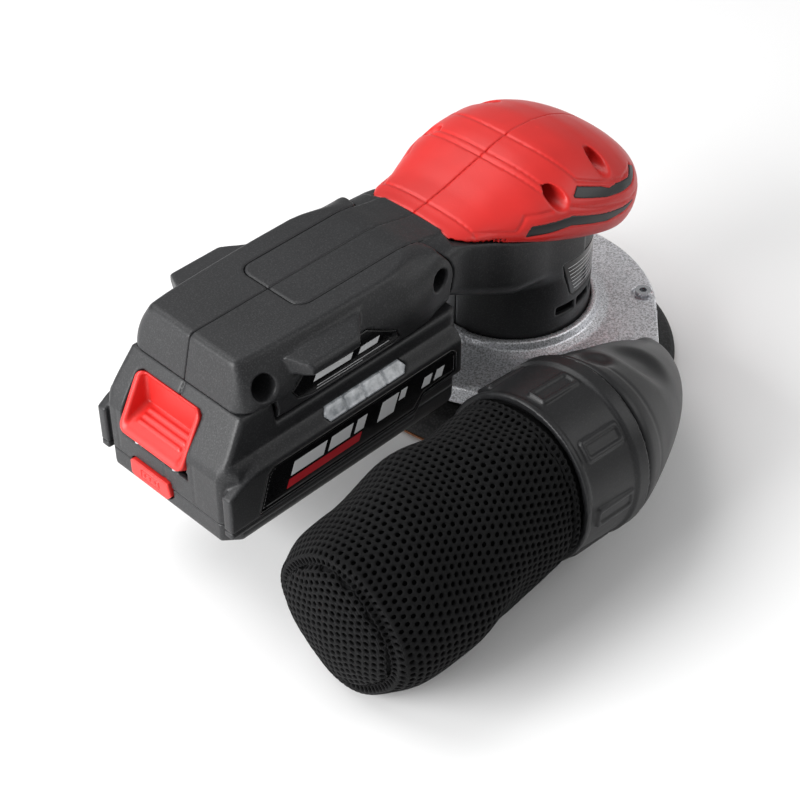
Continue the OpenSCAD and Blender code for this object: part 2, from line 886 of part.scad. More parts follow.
module battery_block(inset) {
    intersection() {
        across_y(60) polygon(battery_side(inset));
        along_x(-210, -60) polygon(battery_section(inset));
        translate([0, 0, 20]) linear_extrude(90) polygon(battery_plan(inset));
    }
}

// Side outline of the latch; its front face slopes and it reaches through the case wall.
function latch_side(grow) = [
    [battery_rear_x - 1 - grow, 62.4 - grow],
    [battery_rear_x - 1 - grow, 66.2],
    [-188.2 - grow, 87.2 + grow],
    [-180 + grow, 84 + grow],
    [-180 + grow, 70],
    [-188 + grow, 62.4 - grow]
];

module latch_pocket(grow) {
    translate([0, latch_y, 0]) across_y(19 + grow) polygon(latch_side(grow));
    // slot that the latch moves down into
    translate([battery_rear_x - 2, latch_y - 19 - grow, 59.4]) cube([9.6, 38 + 2 * grow, 4]);
}

module label_pocket(side, grow) {
    translate([-180 - grow, side > 0 ? battery_half_w - 0.8 - grow : -battery_half_w - 1, 55 - grow])
        cube([101 + 2 * grow, 1.8 + grow, 14 + 2 * grow]);
    translate([-180 - grow, side > 0 ? battery_half_w - 0.8 - grow : -battery_half_w - 1, 49.4 - grow])
        cube([76 + 2 * grow, 1.8 + grow, 8]);
}

module battery_case_upper() {
    color(dark) difference() {
        union() {
            difference() {
                battery_block(0);
                battery_block(wall);
            }
            pods();
            // rail deck with lips that hook over the handle's rails
            translate([-168.5, -21, battery_deck_z - 2]) cube([70, 42, 4.2]);
            translate([-168.5, -26, battery_deck_z + 4.1]) cube([70, 52, 3.4]);
            translate([-168.5, -21, battery_deck_z]) cube([70, 42, 4.2]);
        }
        translate([-300, -100, -100]) cube([400, 200, 100 + battery_seam_z]);
        // slots for the contact blades
        for (y = [-14, -6, 6, 14]) translate([-125, y - 1.3, 78]) cube([40, 2.6, 14]);
        latch_pocket(0.3);
        for (side = [-1, 1]) {
            label_pocket(side, 0.15);
            window_bar(side, 0.1);
        }
        gauge_pocket(0.25);
    }
}

module battery_case_lower() {
    color(dark) difference() {
        intersection() {
            difference() {
                battery_block(0);
                battery_block(wall);
            }
            translate([-300, -100, 0]) cube([400, 200, battery_seam_z - 0.1]);
        }
        gauge_pocket(0.25);
        for (side = [-1, 1]) label_pocket(side, 0.15);
        for (p = battery_screw_places) translate([p[0], p[1], 30]) cylinder(h = 30, r = 1.9);
    }
}

battery_screw_places = [[-188, -30], [-188, 30], [-88, -28], [-88, 28]];

module battery_screws() {
    color(steel) for (p = battery_screw_places) translate([p[0], p[1], 0]) {
        translate([0, 0, battery_bottom + 1]) cylinder(h = 5, r = 1.5);
        translate([0, 0, battery_bottom + 2.62]) cylinder(h = 1.2, r = 3);
    }
}

// Clear strip set into the sloping shoulder of the battery.
module window_bar(side, grow) {
    translate([-147 - grow, side * 34.1, 77]) rotate([side * 20, 0, 0])
        translate([0, -1.4 - grow, -4.6 - grow]) cube([44 + 2 * grow, 2.8 + 2 * grow, 8.6 + 2 * grow]);
}

module battery_windows() {
    color("white") for (side = [-1, 1]) window_bar(side, 0);
}

module battery_label(side) {
    intersection() {
        label_pocket(side, 0);
        translate([-200, side > 0 ? 0 : -battery_half_w - 0.1, 0]) cube([200, battery_half_w + 0.1, 100]);
    }
}

module battery_label_right() { color(black) battery_label(-1); }
module battery_label_left() { color(black) battery_label(1); }

module battery_cells() {
    color("steelblue") for (i = [0:cell_count - 1])
        rod_y(cell_first_x + i * cell_pitch, 52.6, cell_d / 2, -cell_len / 2, cell_len / 2);
}

module cell_holder() {
    color(black) for (side = [-1, 1]) difference() {
        translate([-178.6, side > 0 ? 22 : -33.4, 42]) cube([95, 11.4, 28]);
        for (i = [0:cell_count - 1])
            rod_y(cell_first_x + i * cell_pitch, 52.6, cell_d / 2 + 0.1, -40, 40);
        for (p = battery_screw_places) translate([p[0], p[1], 40]) cylinder(h = 5, r = 1.9);
    }
}

module battery_board() {
    color("darkgreen") {
        translate([-172, -26, 71]) cube([84, 52, 1.6]);
        for (x = [-160, -146]) translate([x, -8, 72.6]) cube([8, 12, 2.4]);
    }
}

module battery_contacts() {
    color(copper) for (y = [-14, -6, 6, 14]) {
        translate([-120, y - 1.1, 74.6]) cube([8, 0.6, 13.2]);
        translate([-120, y + 0.5, 74.6]) cube([8, 0.6, 13.2]);
        translate([-120, y - 1.1, 72.7]) cube([8, 2.2, 2]);
    }
}

module battery_latch() {
    color(red) difference() {
        translate([0, latch_y, 0]) across_y(18.7) polygon(latch_side(0));
        // finger scoop
        translate([0, latch_y, 0]) across_y(15.6) polygon([
            [-203, 66], [-190.4, 69.6], [-187, 82.8], [-200, 90]
        ]);
    }
}

module latch_springs() {
    color(steel) for (y = [latch_y - 11, latch_y + 11])
        translate([battery_rear_x + wall / 2, y, 0]) tube(59.42, 2.94, 1.15, 0.65);
}

module gauge_pocket(grow) {
    translate([battery_rear_x - 1, -4 - grow, 41.6 - grow]) cube([5, 24 + 2 * grow, 9 + 2 * grow]);
}

module gauge_button() {
    color(red) translate([battery_rear_x - 0.6, -4, 41.6]) cube([3.4, 24, 9]);
}

handle_right();
handle_left();
motor_housing_right();
motor_housing_left();
head_right();
head_left();
rating_plate();
side_label_right();
side_label_left();
power_button();
switch_module();
speed_dial();
dial_sensor();
controller_board();
terminal_block();
power_wires();
motor_sleeve();
stator_core();
stator_windings();
upper_bearing();
lower_bearing();
cast_cover();
cover_screws();
handle_screws();
head_screws();
brake_skirt();
rotor_core();
rotor_magnets();
motor_shaft();
cooling_fan();
counterweight();
pad_bearing();
pad_spindle();
pad_plate();
pad_foam();
hook_layer();
abrasive_disc();
pad_screw();
dust_elbow();
elbow_seal();
bag_collar();
bag_frame();
dust_bag();
battery_case_upper();
battery_case_lower();
battery_windows();
battery_label_right();
battery_label_left();
battery_cells();
cell_holder();
battery_board();
battery_contacts();
battery_latch();
latch_springs();
gauge_button();
battery_screws();
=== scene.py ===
import json
import math

import bpy
import numpy as np
from mathutils import Matrix, Vector


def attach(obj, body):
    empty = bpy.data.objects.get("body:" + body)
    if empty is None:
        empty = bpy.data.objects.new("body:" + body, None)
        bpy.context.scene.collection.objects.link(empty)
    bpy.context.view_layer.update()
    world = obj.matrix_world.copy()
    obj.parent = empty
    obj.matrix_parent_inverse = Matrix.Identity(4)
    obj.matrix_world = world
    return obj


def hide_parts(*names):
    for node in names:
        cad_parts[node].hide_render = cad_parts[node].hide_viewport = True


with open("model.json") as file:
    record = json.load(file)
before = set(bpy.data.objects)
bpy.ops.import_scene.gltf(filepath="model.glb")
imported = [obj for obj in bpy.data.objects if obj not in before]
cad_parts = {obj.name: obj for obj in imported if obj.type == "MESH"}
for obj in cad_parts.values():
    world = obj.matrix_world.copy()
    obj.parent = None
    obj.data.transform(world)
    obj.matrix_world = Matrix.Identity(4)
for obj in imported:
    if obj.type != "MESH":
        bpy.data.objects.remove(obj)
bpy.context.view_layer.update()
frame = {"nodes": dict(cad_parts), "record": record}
nodes = frame["nodes"]
MM = 0.001
STEP = 0.75  # spacing of the meshes' vertices, in mm
WALL = 2.6  # thickness of the moulded shells, in mm
CHUNK = 400000  # points worked out at once

# ---------------------------------------------------------------- node materials


class Shader:
    """A node tree with short calls to add and join its nodes."""

    def __init__(self, name):
        self.mat = bpy.data.materials.new(name)
        self.mat.use_nodes = True
        self.tree = self.mat.node_tree
        self.bsdf = self.tree.nodes["Principled BSDF"]
        self.coord = self.tree.nodes.new("ShaderNodeTexCoord").outputs["Object"]

    def add(self, kind, **inputs):
        node = self.tree.nodes.new(kind)
        for key, value in inputs.items():
            self.put(node, key, value)
        return node

    def put(self, node, key, value):
        sock = node.inputs[int(key[1:]) if key[0] == "_" else key.replace("_", " ")]
        if isinstance(value, bpy.types.NodeSocket):
            self.tree.links.new(value, sock)
        else:
            sock.default_value = value

    def noise(self, scale, detail=3.0, rough=0.5, vector=None):
        n = self.add("ShaderNodeTexNoise", Scale=scale, Detail=detail, Roughness=rough)
        self.tree.links.new(vector or self.coord, n.inputs["Vector"])
        return n.outputs["Fac"]

    def cells(self, scale, feature="F1", vector=None):
        n = self.add("ShaderNodeTexVoronoi", Scale=scale)
        n.feature = feature
        self.tree.links.new(vector or self.coord, n.inputs["Vector"])
        return n.outputs["Distance"]

    def ramp(self, value, stops):
        n = self.add("ShaderNodeValToRGB", Fac=value)
        ramp = n.color_ramp
        for i, (at, level) in enumerate(stops):
            e = ramp.elements[i] if i < 2 else ramp.elements.new(at)
            e.position = at
            rgb = (level,) * 3 if isinstance(level, (int, float)) else level
            e.color = (*rgb, 1)
        return n.outputs["Color"]

    def maths(self, op, a, b=0.0, c=0.0):
        n = self.add("ShaderNodeMath", _0=a, _1=b, _2=c)
        n.operation = op
        return n.outputs[0]

    def mix(self, fac, a, b, blend="MIX"):
        n = self.tree.nodes.new("ShaderNodeMix")
        n.data_type = "RGBA"
        n.blend_type = blend
        for index, value in ((0, fac), (6, a), (7, b)):
            if isinstance(value, bpy.types.NodeSocket):
                self.tree.links.new(value, n.inputs[index])
            else:
                n.inputs[index].default_value = value if index == 0 else (*value, 1)
        return n.outputs[2]

    def bump(self, height, distance, strength=1.0, after=None):
        n = self.add("ShaderNodeBump", Height=height, Distance=distance, Strength=strength)
        if after is not None:
            self.tree.links.new(after, n.inputs["Normal"])
        return n.outputs["Normal"]

    def edges(self, low=0.51, high=0.6):
        g = self.tree.nodes.new("ShaderNodeNewGeometry")
        return self.ramp(g.outputs["Pointiness"], [(low, 0.0), (high, 1.0)])

    def finish(self, color, rough, normal=None, metal=0.0, **sockets):
        self.put(self.bsdf, "Base Color", color)
        self.put(self.bsdf, "Roughness", rough)
        self.put(self.bsdf, "Metallic", metal)
        if normal is not None:
            self.put(self.bsdf, "Normal", normal)
        for key, value in sockets.items():
            self.put(self.bsdf, key, value)
        return self.mat


def shade(rgb, k):
    return tuple(min(1.0, c * k) for c in rgb)


def moulded(name, rgb, rough=0.45, grain=1500.0, depth=0.03, sparkle=0.0, edge_lightening=0.5, **sockets):
    """Moulded plastic: spark-eroded grain, slight unevenness of tone, a lighter tone on sharp convex edges."""
    s = Shader(name)
    cloud = s.noise(28.0, 4.0)
    tone = s.mix(s.ramp(cloud, [(0.3, 0.0), (0.7, 1.0)]), shade(rgb, 0.88), shade(rgb, 1.1))
    fine = s.noise(grain, 2.0, 0.7)
    if sparkle:
        dots = s.ramp(s.noise(grain * 0.8, 1.0), [(0.5, 0.0), (0.78, 1.0)])
        tone = s.mix(s.maths("MULTIPLY", dots, sparkle), tone, (0.42, 0.42, 0.43))
    # lighter tone on sharp convex edges, found from the mesh's pointiness
    tone = s.mix(s.maths("MULTIPLY", s.edges(), edge_lightening), tone, shade(rgb, 1.7))
    r = s.maths("MULTIPLY_ADD", s.noise(60.0, 5.0), 0.16, rough - 0.08)
    r = s.maths("MULTIPLY_ADD", fine, 0.12, s.maths("SUBTRACT", r, 0.06))
    normal = s.bump(s.noise(grain * 0.55, 3.0, 0.6), depth * MM, 0.9)
    return s.finish(tone, r, normal, **sockets)


def metal(name, rgb, rough=0.3, brushed=None, speck=0.0, depth=0.01, metallic=1.0):
    """Metal with turned or brushed lines, or the speckle of paint on a casting."""
    s = Shader(name)
    cloud = s.noise(35.0, 5.0)
    tone = s.mix(cloud, shade(rgb, 0.82), shade(rgb, 1.12))
    vector = None
    if brushed:
        m = s.add("ShaderNodeMapping", Vector=s.coord, Scale=brushed)
        vector = m.outputs[0]
    lines = s.noise(900.0, 3.0, 0.6, vector)
    if speck:
        dots = s.ramp(s.noise(1350.0, 1.5, 0.6), [(0.36, 0.0), (0.6, 1.0)])
        tone = s.mix(s.maths("MULTIPLY", dots, speck), shade(rgb, 0.62), shade(rgb, 1.25))
    tone = s.mix(s.maths("MULTIPLY", s.edges(), 0.4), tone, shade(rgb, 1.5))
    r = s.maths("MULTIPLY_ADD", lines, 0.2, rough - 0.1)
    return s.finish(tone, r, s.bump(lines, depth * MM, 0.8), metallic)


def film(name, rgb, rough=0.12):
    """Glossy printed film with faint waviness and hairline scratches."""
    s = Shader(name)
    m = s.add("ShaderNodeMapping", Vector=s.coord, Scale=(1.0, 1.0, 14.0))
    scratch = s.ramp(s.noise(420.0, 2.0, 0.5, m.outputs[0]), [(0.66, 0.0), (0.7, 1.0)])
    tone = s.mix(s.maths("MULTIPLY", scratch, 0.12), rgb, shade(rgb, 3.0))
    r = s.maths("MULTIPLY_ADD", s.noise(90.0, 4.0), 0.12, rough - 0.04)
    return s.finish(tone, r, s.bump(s.noise(70.0, 2.0), 0.02 * MM, 0.5), 0.0,
                    Coat_Weight=0.25, Coat_Roughness=0.08, Specular_IOR_Level=0.3)


def window_plastic():
    s = Shader("clear_window")
    bands = s.noise(260.0, 3.0, 0.6)
    tone = s.ramp(bands, [(0.3, (0.2, 0.22, 0.24)), (0.7, (0.62, 0.65, 0.68))])
    return s.finish(tone, 0.16, s.bump(bands, 0.1 * MM, 0.6), 0.0, Coat_Weight=1.0, Coat_Roughness=0.05)


def knitted(name, rgb):
    """Knitted spacer yarn: fine twisted threads, matt with a slight sheen."""
    s = Shader(name)
    fibre = s.noise(2600.0, 3.0, 0.7)
    wave = s.add("ShaderNodeTexWave", Scale=760.0, Distortion=3.0, Detail=2.0)
    s.tree.links.new(s.coord, wave.inputs["Vector"])
    tone = s.mix(fibre, shade(rgb, 0.5), shade(rgb, 1.9))
    tone = s.mix(s.maths("MULTIPLY", s.noise(30.0, 3.0), 0.5), tone, shade(rgb, 1.5))
    normal = s.bump(wave.outputs["Fac"], 0.16 * MM, 0.9, s.bump(fibre, 0.12 * MM, 0.9))
    return s.finish(tone, 0.86, normal, 0.0, Sheen_Weight=0.03, Sheen_Roughness=0.5,
                    Specular_IOR_Level=0.12)


def granular(name, rgb, scale, depth, rough=0.9):
    """Foam or coated grit: cells or grains in relief."""
    s = Shader(name)
    grains = s.cells(scale)
    tone = s.mix(s.ramp(grains, [(0.1, 1.0), (0.6, 0.0)]), shade(rgb, 0.5), shade(rgb, 1.4))
    return s.finish(tone, rough, s.bump(grains, depth * MM, 1.0))


DARK = (0.014, 0.0143, 0.0155)
materials = {
    "dark_plastic": moulded("dark_plastic", DARK, 0.42, 2000.0, 0.07, sparkle=0.06, Specular_IOR_Level=0.36),
    "black_plastic": moulded("black_plastic", (0.009, 0.009, 0.0095), 0.5, depth=0.04,
                              Specular_IOR_Level=0.3),
    "red_plastic": moulded("red_plastic", (0.56, 0.02, 0.017), 0.38, depth=0.03, edge_lightening=0.12,
                            Specular_IOR_Level=0.4),
    "clear_plastic": window_plastic(),
    "label": film("label_film", (0.0035, 0.0035, 0.004)),
    "silver_cast": metal("silver_cast", (0.74, 0.75, 0.78), 0.42, speck=1.0, depth=0.05, metallic=0.75),
    "aluminium_part": metal("aluminium_part", (0.66, 0.67, 0.69), 0.3, (1.0, 1.0, 12.0)),
    "steel_part": metal("steel_part", (0.5, 0.51, 0.53), 0.26, (1.0, 1.0, 10.0)),
    "copper_wire": metal("copper_wire", (0.72, 0.32, 0.14), 0.32, (1.0, 1.0, 16.0), depth=0.05),
    "board": moulded("circuit_board", (0.012, 0.13, 0.045), 0.3, depth=0.02),
    "cells": moulded("cell_sleeve", (0.06, 0.2, 0.42), 0.25, depth=0.01),
    "foam": granular("pad_foam_cells", (0.03, 0.03, 0.031), 900.0, 0.1),
    "soft_rubber": moulded("soft_rubber", (0.018, 0.018, 0.019), 0.7, 900.0, 0.05),
    "mesh_fabric": knitted("mesh_yarn", (0.003, 0.003, 0.0033)),
    "hook_fabric": granular("hook_loops", (0.02, 0.02, 0.022), 1600.0, 0.25),
    "abrasive": granular("abrasive_grit", (0.3, 0.12, 0.05), 2600.0, 0.08),
    "wires": moulded("wire_sleeve", (0.4, 0.02, 0.02), 0.45, depth=0.01),
    "moulded_black": moulded("elbow_plastic", (0.0085, 0.0087, 0.0095), 0.42, 2600.0, 0.04, sparkle=0.03,
                              Specular_IOR_Level=0.36),
    "stripe": moulded("stripe_plastic", (0.009, 0.009, 0.0095), 0.4, depth=0.03),
    "print_white": film("print_white", (0.72, 0.73, 0.74), 0.35),
    "print_red": film("print_red", (0.55, 0.01, 0.02), 0.3),
}
slot_of = {p["node"]: p["material_slot"] for p in frame["record"]["subparts"]}
SLOT_FOR = {"moulded_black": "dark_plastic", "stripe": "black_plastic",
            "print_white": "label", "print_red": "label"}
for node_name, obj in nodes.items():
    obj.data.materials.clear()
    obj.data.materials.append(materials[slot_of[node_name]])

# ---------------------------------------------------------------- signed distances, in mm


def smax(a, b, k):
    h = np.maximum(k - np.abs(a - b), 0.0) / k
    return np.maximum(a, b) + h * h * k * 0.25


def smin(a, b, k):
    return -smax(-a, -b, k)


def cut(a, b, k=0.8):
    """a without b."""
    return smax(a, -b, k)


def box(x, y, z, low, high, r=0.6):
    q = [np.abs(p - (a + b) / 2) - (b - a) / 2 + r for p, a, b in zip((x, y, z), low, high)]
    out = np.sqrt(sum(np.maximum(c, 0.0) ** 2 for c in q))
    return out + np.minimum(np.maximum(np.maximum(q[0], q[1]), q[2]), 0.0) - r


def rect(u, v, hu, hv, r):
    a, b = np.abs(u) - hu + r, np.abs(v) - hv + r
    return np.hypot(np.maximum(a, 0), np.maximum(b, 0)) + np.minimum(np.maximum(a, b), 0) - r


def polygon(u, v, pts):
    """Distance to a closed outline, negative inside."""
    d = np.full(np.broadcast(u, v).shape, 1e9)
    inside = np.zeros(d.shape, bool)
    for (ax, ay), (bx, by) in zip(pts, pts[1:] + pts[:1]):
        ex, ey = bx - ax, by - ay
        wx, wy = u - ax, v - ay
        t = np.clip((wx * ex + wy * ey) / (ex * ex + ey * ey), 0, 1)
        d = np.minimum(d, (wx - ex * t) ** 2 + (wy - ey * t) ** 2)
        if ay != by:
            inside ^= ((ay > v) != (by > v)) & (u < ex * (v - ay) / ey + ax)
    d = np.sqrt(d)
    return np.where(inside, -d, d)


def path(u, v, pts):
    """Distance to an open line."""
    d = np.full(np.broadcast(u, v).shape, 1e9)
    for (ax, ay), (bx, by) in zip(pts[:-1], pts[1:]):
        ex, ey = bx - ax, by - ay
        t = np.clip(((u - ax) * ex + (v - ay) * ey) / (ex * ex + ey * ey), 0, 1)
        d = np.minimum(d, np.hypot(u - ax - ex * t, v - ay - ey * t))
    return d


def smooth_line(pts):
    """A smooth curve through (x, value) points, as a lookup; it never overshoots."""
    xs, ys = np.array(pts, float).T
    h, s = np.diff(xs), np.diff(ys) / np.diff(xs)
    both = s[:-1] * s[1:]
    inner = np.where(both > 0, 2 * both / (s[:-1] + s[1:] + 1e-12), 0)
    m = np.concatenate([[s[0]], inner, [s[-1]]])
    fine = np.linspace(xs[0], xs[-1], 900)
    i = np.clip(np.searchsorted(xs, fine) - 1, 0, len(h) - 1)
    t = (fine - xs[i]) / h[i]
    value = ((2 * t**3 - 3 * t**2 + 1) * ys[i] + (t**3 - 2 * t**2 + t) * h[i] * m[i]
             + (3 * t**2 - 2 * t**3) * ys[i + 1] + (t**3 - t**2) * h[i] * m[i + 1])
    return lambda x: np.interp(x, fine, value)


def ellipse(u, v, a, b):
    k0 = np.hypot(u / a, v / b)
    k1 = np.hypot(u / a**2, v / b**2)
    return k0 * (k0 - 1) / np.maximum(k1, 1e-6)


# ---------------------------------------------------------------- meshing


def mesh_object(name, verts, quads, body, material, replaced=(), smooth=True):
    mesh = bpy.data.meshes.new(name)
    mesh.vertices.add(len(verts))
    mesh.vertices.foreach_set("co", (np.asarray(verts, np.float32) * MM).ravel())
    quads = np.asarray(quads, np.int32)
    mesh.loops.add(quads.size)
    mesh.loops.foreach_set("vertex_index", quads.ravel())
    mesh.polygons.add(len(quads))
    mesh.polygons.foreach_set("loop_start", np.arange(0, quads.size, quads.shape[1], dtype=np.int32))
    mesh.update(calc_edges=True)
    mesh.validate()
    mesh.polygons.foreach_set("use_smooth", np.full(len(mesh.polygons), smooth))
    obj = bpy.data.objects.new(name, mesh)
    bpy.context.scene.collection.objects.link(obj)
    mesh.materials.append(materials[material])
    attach(obj, body)
    SLOT_FOR.get(material, material)
    if replaced:
        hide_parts(*replaced)
    return obj


def gradient(fn, p, h=0.05):
    g = np.empty_like(p)
    for i in range(3):
        e = np.zeros(3)
        e[i] = h
        g[:, i] = (fn(*(p + e).T) - fn(*(p - e).T)) / (2 * h)
    return g


def solid(name, fn, low, high, body, material, replaced=(), step=None, reach=1.7):
    """Closed mesh of fn(x, y, z) < 0 inside a box: surface nets, then drawn on to the surface."""
    step = step or STEP
    low = np.array(low, float) - 1.4 * step
    n = np.ceil((np.array(high, float) - low) / step).astype(int) + 3
    axes = [low[i] + step * np.arange(n[i]) for i in range(3)]
    coarse = 4
    rough = fn(*np.meshgrid(*[a[::coarse] for a in axes], indexing="ij"))
    near = [np.clip(np.rint(np.arange(k) / coarse).astype(int), 0, rough.shape[i] - 1)
            for i, k in enumerate(n)]
    value = rough[np.ix_(*near)]
    where = np.argwhere(np.abs(value) < coarse * step * reach)
    for part in np.array_split(where, max(1, len(where) // CHUNK)):
        value[tuple(part.T)] = fn(*(low + step * part).T)
    inside = value < 0
    for i in range(3):  # the box's own faces are outside, so the mesh closes
        edge = [slice(None)] * 3
        for edge[i] in (0, -1):
            inside[tuple(edge)] = False
            value[tuple(edge)] = np.maximum(value[tuple(edge)], 0.01)
    corners = np.array([(i, j, k) for i in (0, 1) for j in (0, 1) for k in (0, 1)])
    m = n - 1
    count = sum(inside[c[0]:c[0] + m[0], c[1]:c[1] + m[1], c[2]:c[2] + m[2]].astype(np.int8) for c in corners)
    cell = np.argwhere((count > 0) & (count < 8))
    index = np.full(m, -1, np.int64)
    index[tuple(cell.T)] = np.arange(len(cell))
    total, hits = np.zeros((len(cell), 3)), np.zeros(len(cell))
    for a in corners:
        for axis in range(3):
            if a[axis]:
                continue
            b = a.copy()
            b[axis] = 1
            va, vb = value[tuple((cell + a).T)], value[tuple((cell + b).T)]
            crossed = (va < 0) != (vb < 0)
            t = np.where(crossed, va / np.where(crossed, va - vb, 1), 0)
            total += crossed[:, None] * (a + t[:, None] * (b - a))
            hits += crossed
    verts = low + step * (cell + total / hits[:, None])
    start = verts.copy()
    for _ in range(3):
        g = gradient(fn, verts)
        d = fn(*verts.T)
        move = g * (d / np.maximum((g * g).sum(1), 0.05))[:, None]
        verts = np.clip(verts - move, start - 0.6 * step, start + 0.6 * step)
    quads = []
    for axis in range(3):
        one = [slice(None)] * 3
        two = [slice(None)] * 3
        one[axis], two[axis] = slice(0, -1), slice(1, None)
        a, b = inside[tuple(one)], inside[tuple(two)]
        e = np.argwhere(a != b)
        flip = ~a[tuple(e.T)]
        du, dv = np.zeros(3, int), np.zeros(3, int)
        du[(axis + 1) % 3], dv[(axis + 2) % 3] = 1, 1
        quad = np.stack([index[tuple((e - o).T)] for o in (du + dv, dv, 0 * du, du)], 1)
        quad[flip] = quad[flip][:, ::-1]
        quads.append(quad)
    return mesh_object(name, verts, np.concatenate(quads), body, material, replaced)


# ---------------------------------------------------------------- handle and motor housing

NECK_R = 35.4
half_width = smooth_line([(-186, 26), (-181, 31.4), (-176, 33.4), (-160, 34.8), (-118, 36), (-100, 36),
                          (-88, 33.8), (-76, 30.4), (-62, 28), (-50, 29.4), (-36, 33), (-18, NECK_R),
                          (6, NECK_R)])
crown = smooth_line([(-190, 112), (-90, 112), (-84, 111.5), (-74, 109.3), (-63, 107.3), (-40, 106.4),
                     (10, 106.4)])


def handle_outer(x, y, z):
    """Distance to the handle: flat top, sloping shoulders that turn round near the head, steep rear face."""
    ay = np.abs(y)
    wide = half_width(x)
    rounded = np.where(z > 93.5, ellipse(np.maximum(ay - 16, 0), np.maximum(z - 93.5, 0), 20, 18.5), ay - 36)
    shoulder = (ay + 7.5 - wide) * 0.8475 + (z - 110.6) * 0.5306
    forward = np.clip((x + 104) / 26, 0, 1)
    side = smax((ay - 36 + 0.25 * np.maximum(93.5 - z, 0)) * 0.97, (ay - wide) * 0.97, 3.0)
    side = smax(side, shoulder * (1 - forward) + rounded * forward, 5.0)
    d = smax(side, (z - crown(x)) * 0.99, 1.5)
    return smax(d, -(x + 184.5 - (z - 92.0) * 0.245) * 0.971, 2.4)


def tongue(x, y):
    """Outline, in plan, of the strip of the housing that runs back over the handle."""
    return rect(x + 100, y, 40.5, 17.4, 6.0)


def split_x(y, z):
    """Where the handle's side shells end and the motor housing starts."""
    by_height = np.interp(z, [80, 85, 89.4, 93.7, 97.7, 102.8, 108.5],
                          [-72, -70.5, -69.2, -67.9, -68.3, -70.9, -75.3])
    return by_height + np.interp(np.abs(y), [13.6, 14.8, 16.5, 20, 24.5], [-8, -4.6, -2.6, -0.8, 0])


def hole(x, z, at, r):
    """Distance to a round hole that runs across the tool."""
    return np.hypot(x - at[0], z - at[1]) - r


def wing_block(x, y, z, side):
    """Distance to the ledge for the fingers at one side of the handle."""
    plan = polygon(x, side * y, [(-161, 30), (-155.5, 41.2), (-132, 41.2), (-121, 30)])
    section = polygon(side * y, z, [(30, 107.8), (39.4, 106.2), (41.2, 104.6), (41.2, 101.6), (37, 100.2),
                                    (30, 100.2)])
    return smax(plan, section, 1.2)


SIDE_LABEL = [(-161, 92.6), (-153.5, 98.6), (-121, 99.8), (-106, 91.6), (-103.6, 86.6), (-107, 84.9),
              (-150, 84.9), (-157.7, 87.6)]
RECESSES = ((-172, 100, 5.2), (-78, 98, 4.7))  # x, z and radius of the screws' recesses
SCREW_FLOOR = 14  # y at which a recess ends


def handle_piece(side):
    def fn(x, y, z):
        plain = handle_outer(x, y, z)
        outer = smin(plain, wing_block(x, y, z, side), 1.2)
        bed = smax(smax(polygon(x, z, SIDE_LABEL), -(plain + 1.3), 0.2), 25 - side * y, 0.2)
        outer = cut(outer, bed, 0.4)
        for ax, az, r in RECESSES:
            outer = cut(outer, smax(hole(x, z, (ax, az), r), SCREW_FLOOR - side * y, 0.4), 1.0)
        d = smax(outer, -(plain + WALL), 0.4)
        d = cut(d, tongue(x, y) - 0.2, 0.5)
        d = smax(d, x - split_x(y, z) + 0.2, 0.7)
        d = smax(d, 0.12 - side * y, 0.5)
        rim = np.where(x < -168, 92.4, 83.9)
        d = smax(d, rim - z, 0.8)
        for ax, az, r in RECESSES:
            post = smax(smax(hole(x, z, (ax, az), r + 1.5), side * y - 34, 0.4), 0.12 - side * y, 0.4)
            post = cut(post, smax(hole(x, z, (ax, az), r), SCREW_FLOOR - side * y, 0.4), 0.4)
            d = smin(d, smax(post, outer, 0.3), 0.3)
        rail = box(x, side * y, z, (-164, 23, 83.8), (-84, 33.4, 85.8), 0.3)
        return smin(d, smax(rail, outer, 0.3), 0.5)

    return fn


name_of = {-1: "right", 1: "left"}


def span(side, xs, ys, zs):
    """Corners of a box whose y runs from ys[0] to ys[1] on one side of the tool."""
    near, far = sorted((side * ys[0], side * ys[1]))
    return (xs[0], near, zs[0]), (xs[1], far, zs[1])


for side in (-1, 1):
    solid(f"handle_shell_{name_of[side]}", handle_piece(side), *span(side, (-186, -62), (0, 43), (82, 114)),
          "housing", "dark_plastic", (f"handle_{name_of[side]}",))

    def side_label(x, y, z, side=side):
        plain = handle_outer(x, y, z)
        d = smax(polygon(x, z, SIDE_LABEL) + 0.25, np.abs(plain + 0.75) - 0.5, 0.3)
        return smax(d, 28 - side * y, 0.2)

    solid(f"side_panel_{name_of[side]}", side_label, *span(side, (-162, -103), (29, 38), (84, 101)),
          "housing", "label", (f"side_label_{name_of[side]}",), step=STEP * 0.6)


def parting(x, z):
    """Height over the sloping joint between the housing and the head."""
    return (z - 83.5 + 0.345 * x) * 0.945


def housing_outer(x, y, z):
    """Distance to the motor housing: the round neck and the arm that goes back to the handle."""
    ay = np.abs(y)
    neck = np.hypot(x, y) - NECK_R
    front = smax((ay - half_width(x)) * 0.97, (z - crown(x)) * 0.99, 2.5)
    upper = ellipse(np.maximum(ay - 14, 0), np.maximum(z - 92, 0), 21.4, 16.4)
    front = smax(front, np.where(z > 92, upper, ay - NECK_R), 2.5)
    belly = np.interp(x, [-72, -58, -46, -33, 5], [79.5, 72, 66, 60, 55])
    front = smax(front, (belly + 0.0072 * ay ** 2 - z) * 0.85, 5.0)
    front = smax(front, x - 5, 1.0)
    return smin(front, smax(neck, 31.3 - z, 0.6), 3.5)


RATING_TURN, RATING_Z, RATING_SLANT = 72, 60.5, 0.35
VENTS = (-96, -76, -56, -36, 36, 56, 76, 96)


